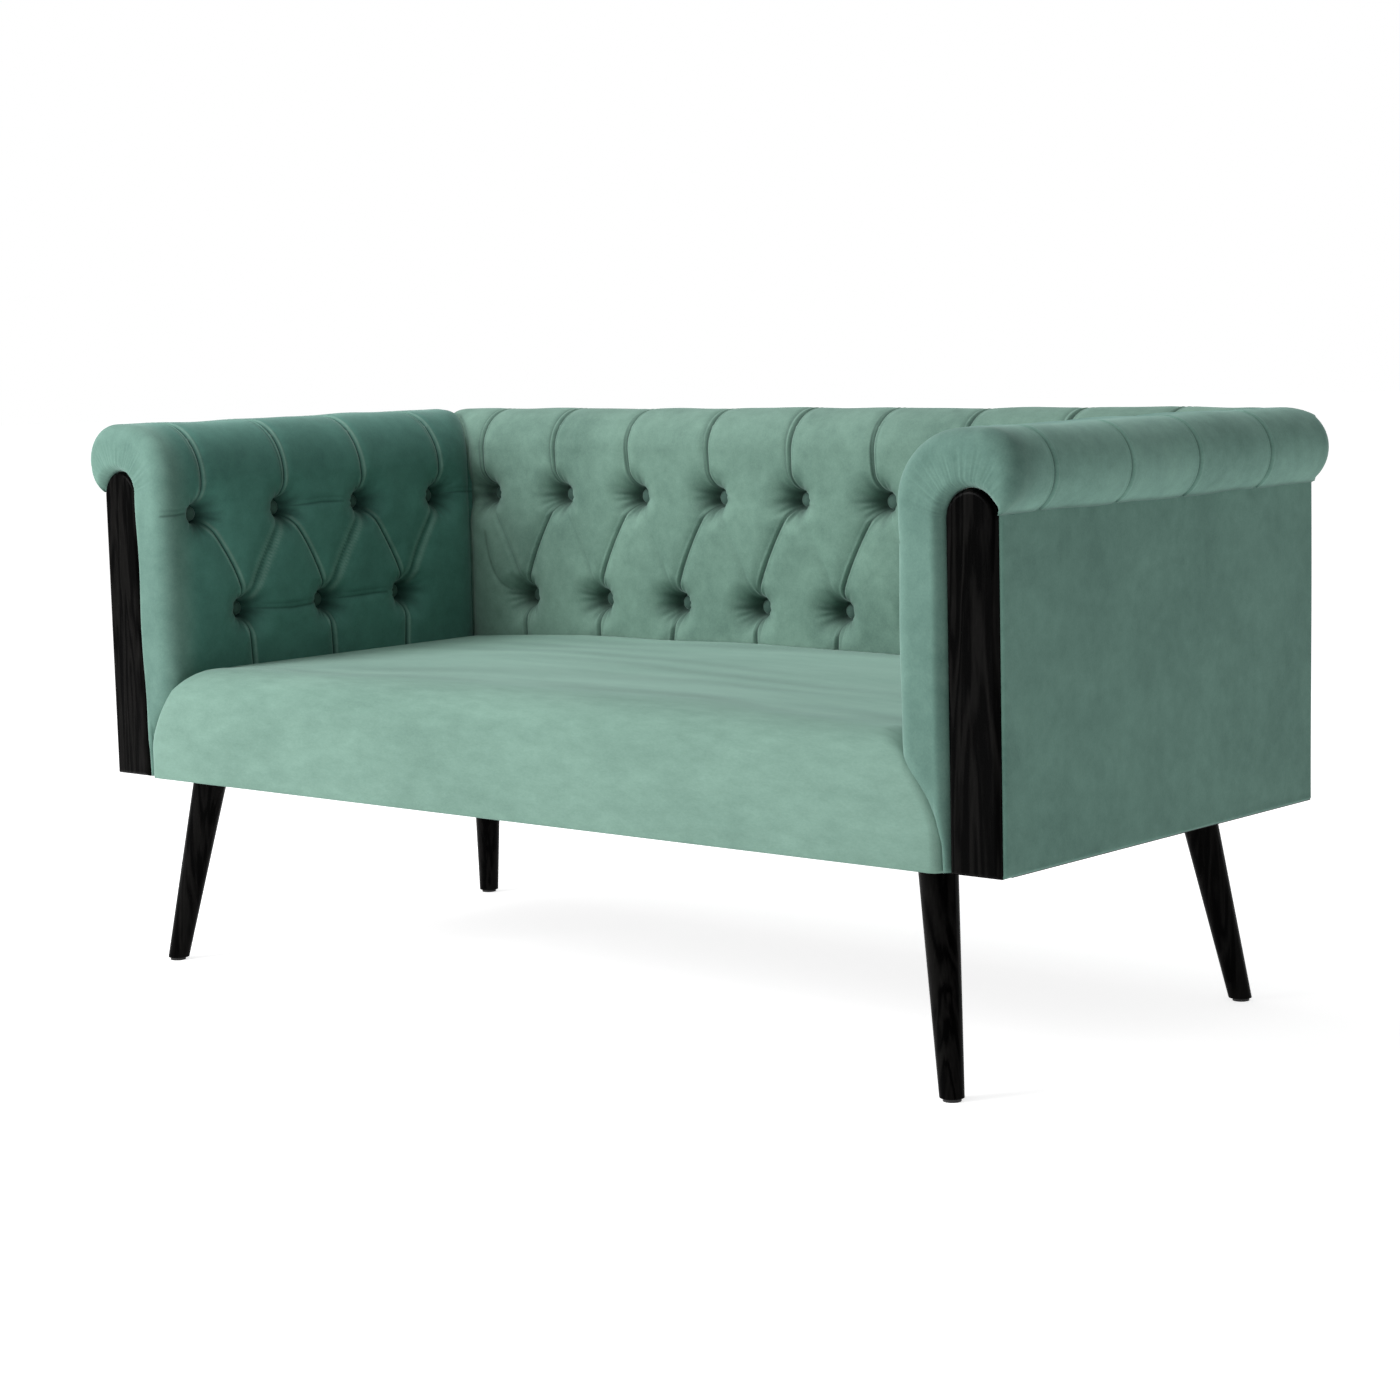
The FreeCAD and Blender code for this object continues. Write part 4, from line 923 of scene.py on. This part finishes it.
def back_skin():
    """Back's skin as a grid of points, and its shade.

    Rows climb its face and go over the roll, columns run between the two corner joints. Each point is then
    drawn in along the grid's normal, by the buttoning, the creases at both corners, slight folds beside them
    and a slow wave. Its ends then slip along the slanting joints, so that they still meet the arms.
    """
    roll_depth, roll_height, roll_along = rolled_top(back_inner_radius, back_roll)
    climb = graded(back_foot, back_spring, back_climb_rows, (back_low_row, top_row))[:-1]
    depth = np.concatenate([np.zeros(len(climb)), roll_depth, roll_depth[-1] + tuck_steps[:, 0]])[:, None]
    height = np.concatenate([climb, roll_height, roll_height[-1] + tuck_steps[:, 1]])[:, None]
    cloth = np.concatenate([climb, back_spring + roll_along, back_spring + roll_along[-1] + tuck_steps[:, 2]])
    ends = (back_foot, back_spring + back_inner_radius * math.pi / 2, back_spring + roll_along[-1])
    falls, slants, climbs = fold_paths(back_buttons, ends)
    half = arm_crown + depth / corner_slope + corner_overlap
    guides = [guide(cloth, climbs[0], [(back_end_run, back_low_row), (back_end_run, back_foot)])]
    guides += [
        guide(cloth, fall, slant[1:-1], rise)
        for fall, (lean, slant), rise in zip(falls, [pair for pair in slants if pair[0] > 0], climbs[1:])]
    run = crowded(-half[:, 0], guides, half[:, 0], back_fold_columns)
    along = cloth[:, None] + 0 * run
    grid = np.stack([run, back_crown + depth + 0 * run, height + 0 * run], axis=-1)
    sunk, shade, _ = buttoning(run, along, back_buttons, ends, 1, back_weak_slant)
    from_joint = half - np.abs(run)
    crease = corner_depth * corner_slope * corner_fade(along, ends)
    slight = crease * pillow(np.clip((from_joint - corner_overlap) / corner_reach, 0, 1))
    for side in (-1.0, 1.0):
        for low, high in back_end_folds:
            path = bent((side * low[0], low[1]), (side * high[0], high[1]), (side * high[0], low[1] + 10))
            fold_depth, nearest, _ = drawn_fold(
                run, along, path, reach=18.0, tips=(0.0, 0.0), middle=4.0, soft=1.6)
            slight += fold_depth
            # Painted shade along each fold beside the corners.
            shade = np.maximum(shade, 0.30 * np.exp(-(nearest / 2.4) ** 2))
    sunk += slight * spared(sunk)
    sunk += stuffing_wave * uneven(run + 400.0, along, 36.0) * np.clip(from_joint / stuffing_calm, 0, 1)
    grid = grid + grid_normals(grid) * sunk[..., None]
    near = np.clip(1 - from_joint / slip_reach, 0, 1) ** 2
    for column, side in ((0, -1.0), (-1, 1.0)):
        slip = (grid[:, column, 1] - back_crown - depth[:, 0]) / corner_slope
        grid[..., 0] += side * slip[:, None] * near * (run * side > 0)
    # Painted shade along the top of the roll; the shade given back also holds painted shade of folds, hollows
    # and under the roll.
    painted_crest_shade = 0.12 * np.exp(-((along - 712.0) / 45.0) ** 2)
    return rounded_corner(grid), 1 - (1 - shade) * (1 - painted_under_roll_shadow(along, ends)) * (1 - painted_crest_shade)


back_grid, back_shade = back_skin()
back_faces = grid_faces(*back_grid.shape[:2], turned=True)
back = new_piece("back_buttoned_velvet", back_grid, back_faces, back_velvet, shade=back_shade)
shell(back)
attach(back, "root")
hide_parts("back_tufted_cover", "back_foam")


# Buttons: domed metal forms covered in the velvet, gathered round the rim and tied through the padding to
# the board behind. Their copy of the velvet is much darker: painted shade of the hollows they sit in.
button_radius = 10.0
button_base = 39.7
button_rise = 5.0
button_sink = 1.5
button_turn = 1.9
rim_drop = 5.0
rim_narrowing = 0.10
rim_gathers = 11
rim_gather_height = 0.025
button_rows = 12
button_columns = 33


def covered_buttons(places):
    """Domed buttons on a panel in its own axes, depth, run and height: half a flattened ball whose rim turns
    in, with small gathers that fade towards the crown."""
    around, out = np.meshgrid(
        np.linspace(0, 2 * math.pi, button_columns), np.linspace(0, 1, button_rows), indexing="ij")
    tilt = np.minimum(out * button_turn, math.pi / 2)
    rim = np.clip(out * button_turn - math.pi / 2, 0, 1)
    radius = button_radius * np.sin(tilt) * (1 - rim_narrowing * rim)
    radius = radius * (1 + rim_gather_height * out ** 3 * np.sin(around * rim_gathers))
    rise = button_rise * np.cos(tilt) - rim_drop * rim
    local = np.stack([
        button_base - button_sink - rise, radius * np.cos(around), radius * np.sin(around)], axis=-1)
    shifts = np.array([(0.0, run, height) for run, height in places])
    points = shifts[:, None, None, :] + local[None]
    each = button_columns * button_rows
    faces = [grid_faces(button_columns, button_rows, index * each) for index in range(len(places))]
    return points.reshape(-1, 3), np.concatenate(faces)


def place_buttons(name, node, points, faces, material):
    """Covered buttons of one panel as one piece, their joins merged."""
    buttons = new_piece(name, points, faces, material)
    weld = buttons.modifiers.new("join", "WELD")
    weld.merge_threshold = 0.00001
    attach(buttons, "root")
    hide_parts(node)


# Darker copy of the velvet: painted shade of the button hollows.
button_velvet = velvet(
    "green_velvet_button_painted_shade", dark=(0.048, 0.094, 0.078), light=(0.084, 0.152, 0.126), brush=20.0)
arm_places = [(run, top_row) for run in arm_top_runs] + [(run, arm_low_row) for run in arm_low_runs]
panel_points, panel_faces = covered_buttons(arm_places)
for side, sign in (("right", 1.0), ("left", -1.0)):
    settled = (panel_points + (arm_crown, 0.0, 0.0)) * (sign, 1.0, 1.0)
    wound = panel_faces if sign > 0 else panel_faces[:, ::-1]
    place_buttons(side + "_arm_covered_buttons", side + "_arm_buttons", settled, wound, button_velvet)
back_places = [(run, top_row) for run in back_top_runs] + [(run, back_low_row) for run in back_low_runs]
panel_points, panel_faces = covered_buttons(back_places)
settled = np.stack([-panel_points[:, 1], panel_points[:, 0] + back_crown, panel_points[:, 2]], axis=-1)
place_buttons("back_covered_buttons", "back_buttons", settled, panel_faces, button_velvet)


# Seat: one tight pad of velvet over foam, crowned in the middle, its front carried over a round edge and
# straight down to the underside, its ends rounded over in front of the arms.
# The seat's copy of the one velvet, its colour set for how light falls on the seat: painted light.
seat_velvet = velvet(
    "green_velvet_seat_painted_light", dark=(0.123, 0.216, 0.175), light=(0.187, 0.310, 0.255), brush=3.4,
    stretch=(0.55, 3.6, 1.2), swing=0.16, shaded=True)
seat_inner_half = 614.2
seat_front = -343.0
seat_rear = 235.0
seat_wing_rear = -320.3
seat_crown = 422.0
seat_side = 404.0
seat_front_round = 62.0
seat_end_round = 13.0
seat_top_wave = 2.2
seat_front_wave = 0.8
seat_front_belly = 2.0
seat_belly_height = 130.0
seat_flatter = (-335.0, 110.0)
# Darkening of the seat: an even painted shade on the front, a band behind the front edge and streaks of
# brushed pile on top.
seat_front_painted_shade = 0.06
edge_band_place = (-258.0, 36.0)
edge_band_shade = 0.34
streak_shade = 0.26


def seat_streaks_and_painted_shade(x, y):
    """Darkening of the seat: on top a band behind the front edge, deeper towards the right, and level streaks
    of brushed pile in patches, all of them sine waves whose phase another wave sways; on the front one even
    painted shade."""
    on_top = np.clip((y - seat_front - 36.0) / 30.0, 0, 1)
    place, width = edge_band_place
    edge_band = np.exp(-((y - place) / width) ** 2) * np.clip((x + 260.0) / 500.0, 0.2, 1)
    edge_band = edge_band * (0.6 + 0.4 * np.sin(x / 120.0 + 0.8 * np.sin(x / 51.0) + y / 21.0))
    streaks = 0.5 + 0.5 * np.sin(y / 15.0 + 2.4 * np.sin(x / 190.0 + y / 70.0) + 0.9 * np.sin(x / 83.0))
    patches = 0.5 + 0.5 * np.sin(x / 140.0 + 1.7 * np.sin(y / 60.0) + 2.0)
    brushed = edge_band_shade * edge_band + streak_shade * streaks * patches
    return on_top * brushed + seat_front_painted_shade * (1 - on_top)


def seat_skin():
    """Seat as a grid of points.

    Rows follow its front outline: up one end, round it, across the crown and down the other end. Columns
    follow its side outline: up the front, round the edge and back to the rear, where the round ends give way
    to a flatter top between the arms. Height is the softened lower of the two outlines, and the front bellies
    out by half a sine wave.
    """
    inner, reach = seat_end
    drop = seat_edge - seat_spring
    share = (seat_inner_half - inner) / reach
    turn = np.sort(np.append(np.linspace(0, math.pi / 2, 60), math.acos(share ** (seat_power / 2))))
    foot = np.linspace(seat_foot, seat_spring, 16)[:-1]
    end_x = np.concatenate([
        np.full(len(foot), inner + reach), inner + reach * np.cos(turn) ** (2 / seat_power)])
    end_z = np.concatenate([foot, seat_spring + drop * np.sin(turn) ** (2 / seat_power)])
    across = np.linspace(-inner, inner, 190)[1:-1]
    crowned = seat_edge + (seat_crown - seat_edge) * (1 - (across / inner) ** 2)
    x = np.concatenate([-end_x, across, end_x[::-1]])[:, None]
    z = np.concatenate([end_z, crowned, end_z[::-1]])[:, None]
    rise = np.linspace(0, 1, 34)[:-1]
    sweep = np.linspace(0, math.pi / 2, 36)
    level = np.linspace(0, 1, 90)[1:]
    spring = seat_crown + 2.0 - seat_front_round
    side_y = np.concatenate([
        np.full(len(rise), seat_front), seat_front + seat_front_round * (1 - np.cos(sweep)),
        seat_front + seat_front_round + (seat_rear - seat_front - seat_front_round) * level])[None, :]
    side_z = np.concatenate([
        seat_foot + (spring - seat_foot) * rise, spring + seat_front_round * np.sin(sweep),
        np.full(len(level), spring + seat_front_round)])[None, :]
    between = np.abs(x) <= seat_inner_half + 0.1
    flatter = eased(np.clip((side_y - seat_flatter[0]) / seat_flatter[1], 0, 1))
    top = seat_side + (seat_crown - seat_side) * (1 - (x / seat_inner_half) ** 2)
    z = z + (top - z) * flatter * between
    lower = np.minimum(side_z, z)
    soft = np.clip(0.12 * (lower - seat_foot), 0.01, 7.0)
    height = lower - soft * np.log1p(np.exp(-np.abs(side_z - z) / soft))
    y = np.where(between, side_y, np.minimum(side_y, seat_wing_rear))
    x = x + 0 * y
    full = np.clip((seat_inner_half - np.abs(x)) / 120.0, 0, 1) * np.clip((y - seat_front) / 60.0, 0, 1)
    height = height + seat_top_wave * uneven(x, y, 75.0) * full
    beside = np.maximum(inner + reach * end_curve((height - seat_spring) / drop) - np.abs(x), 0)
    above = np.maximum(z - height, 0)
    inset = beside * above / np.maximum(np.hypot(beside, above), 1e-6)
    turned_in = seat_end_round - np.sqrt(np.maximum(
        seat_end_round ** 2 - np.maximum(seat_end_round - inset, 0) ** 2, 0))
    wave = seat_front_wave * uneven(x, height, 60.0) * np.clip((height - seat_foot) / 40.0, 0, 1)
    belly = np.sin(np.clip((height - seat_foot) / seat_belly_height, 0, 1) * math.pi)
    belly = seat_front_belly * belly * np.clip(inset / 60.0, 0, 1)
    y = y + (wave - belly) * (y < seat_front + 1.0) * np.clip(inset / 30.0, 0, 1)
    y = np.maximum(y, seat_front + turned_in - belly)
    return np.stack([x, y, height], axis=-1)


seat_grid = seat_skin()
seat_shade = seat_streaks_and_painted_shade(seat_grid[..., 0], seat_grid[..., 1])
seat_faces = grid_faces(*seat_grid.shape[:2])
seat = new_piece("seat_velvet_pad", seat_grid, seat_faces, seat_velvet, shade=seat_shade)
shell(seat)
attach(seat, "root")
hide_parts("seat_cover", "seat_foam")


# Outer covers: flat velvet stretched over board on both sides and across the rear. Their top edge is tacked
# under the roll, their lower edge is turned under the frame, and the sides wrap the rear corners.
# The outer covers' copy of the one velvet, coloured darker for the shade on the sides: painted shade.
outer_velvet = velvet(
    "green_velvet_outer_painted_shade", dark=(0.087, 0.175, 0.143), light=(0.135, 0.255, 0.209), brush=9.0)
outer_x = 752.0
outer_y = 320.0
outer_foot = seat_foot
outer_top = 655.0
outer_corner = 6.0
outer_turn = 5.0
outer_turned_in = [14.0, 9.0]
outer_wave = 0.7
wave_front = -320.0
wave_half = 700.0
wave_calm = 60.0
outer_lead = -326.0
lead_in = 3.5
lead_ahead = 5.0


def upright_rows():
    """Section of an outer cover from under the frame to the roll: a short turn under, a small round, a
    climb.

    Gives how far it stands in from the face and its height.
    """
    angle = np.linspace(0, math.pi / 2, 8)
    inward = np.concatenate([outer_turned_in, outer_turn * (1 - np.sin(angle)), np.zeros(60)])
    height = np.concatenate([
        [outer_foot, outer_foot], outer_foot + outer_turn * (1 - np.cos(angle)),
        np.linspace(outer_foot + outer_turn, outer_top, 61)[1:]])
    return inward[:, None], height[:, None]


def side_cover():
    """Right outer cover: from the edge of the facing, along the side, round the rear corner."""
    inward, height = upright_rows()
    lead = np.linspace(0, math.pi / 2, 8)
    turn = np.linspace(0, math.pi / 2, 12)
    straight = np.linspace(outer_lead, outer_y - outer_corner, 140)[1:-1]
    ins = np.concatenate([
        lead_in * (1 - np.sin(lead)), 0 * straight, outer_corner * (1 - np.cos(turn))])[None, :]
    y = np.concatenate([
        outer_lead - lead_ahead * np.cos(lead), straight,
        outer_y - outer_corner + outer_corner * np.sin(turn)])[None, :]
    calm = np.clip((y - wave_front) / wave_calm, 0, 1)
    soft = outer_wave * uneven(y + 0 * height, height + 0 * y, 90.0) * calm
    x = outer_x - ins - inward + soft * (inward < 0.1)
    rear_in = inward * np.clip((y - outer_y + outer_corner) / outer_corner, 0, 1)
    return np.stack([x, y - rear_in + 0 * x, height + 0 * x], axis=-1)


def rear_cover():
    """Rear outer cover, between the wrapped edges of the side covers."""
    inward, height = upright_rows()
    x = np.linspace(outer_corner - outer_x, outer_x - outer_corner, 240)[None, :]
    calm = np.clip((wave_half - np.abs(x)) / wave_calm, 0, 1)
    soft = outer_wave * uneven(x + 0 * height, height + 0 * x, 95.0) * calm
    y = outer_y - inward + soft * (inward < 0.1)
    return np.stack([x + 0 * y, y, height + 0 * y], axis=-1)


side_grid = side_cover()
for side, turned in (("right", True), ("left", False)):
    points = side_grid * ((1.0, 1.0, 1.0) if turned else (-1.0, 1.0, 1.0))
    faces = grid_faces(*points.shape[:2], turned=turned)
    cover = new_piece(side + "_outer_velvet", points, faces, outer_velvet)
    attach(cover, "root")
    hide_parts(side + "_outer_cover")
rear_grid = rear_cover()
rear = new_piece("rear_outer_velvet", rear_grid, grid_faces(*rear_grid.shape[:2]), outer_velvet)
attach(rear, "root")
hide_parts("rear_outer_cover")


# Facings and legs: black-stained wood with a satin lacquer, the grain just showing. Facings are screwed on
# from behind the posts, legs are turned tapers on hanger bolts.
black_wood = wood(
    "black_stained_wood", stretch=(16.0, 16.0, 1.6), rings=1.4, pores=26.0, dark=(0.0002, 0.0002, 0.0002),
    light=(0.0062, 0.0059, 0.0056), rough=0.24, relief=0.45, bare=0.32, Specular_IOR_Level=0.02)
dress([side + part for side in both for part in ("arm_facing", "front_leg", "rear_leg")], black_wood)


# Glides: hard black plastic pads, moulded with a pin that is pressed into each foot. The settee stands on
# them, and the floor scuffs them.
glide = cloth_stock(
    "glide_plastic", dark=(0.002, 0.002, 0.002), light=(0.006, 0.006, 0.006),
    pitch=3.0, rough=0.5, relief=0.15)
dress(["leg_glides"], glide)
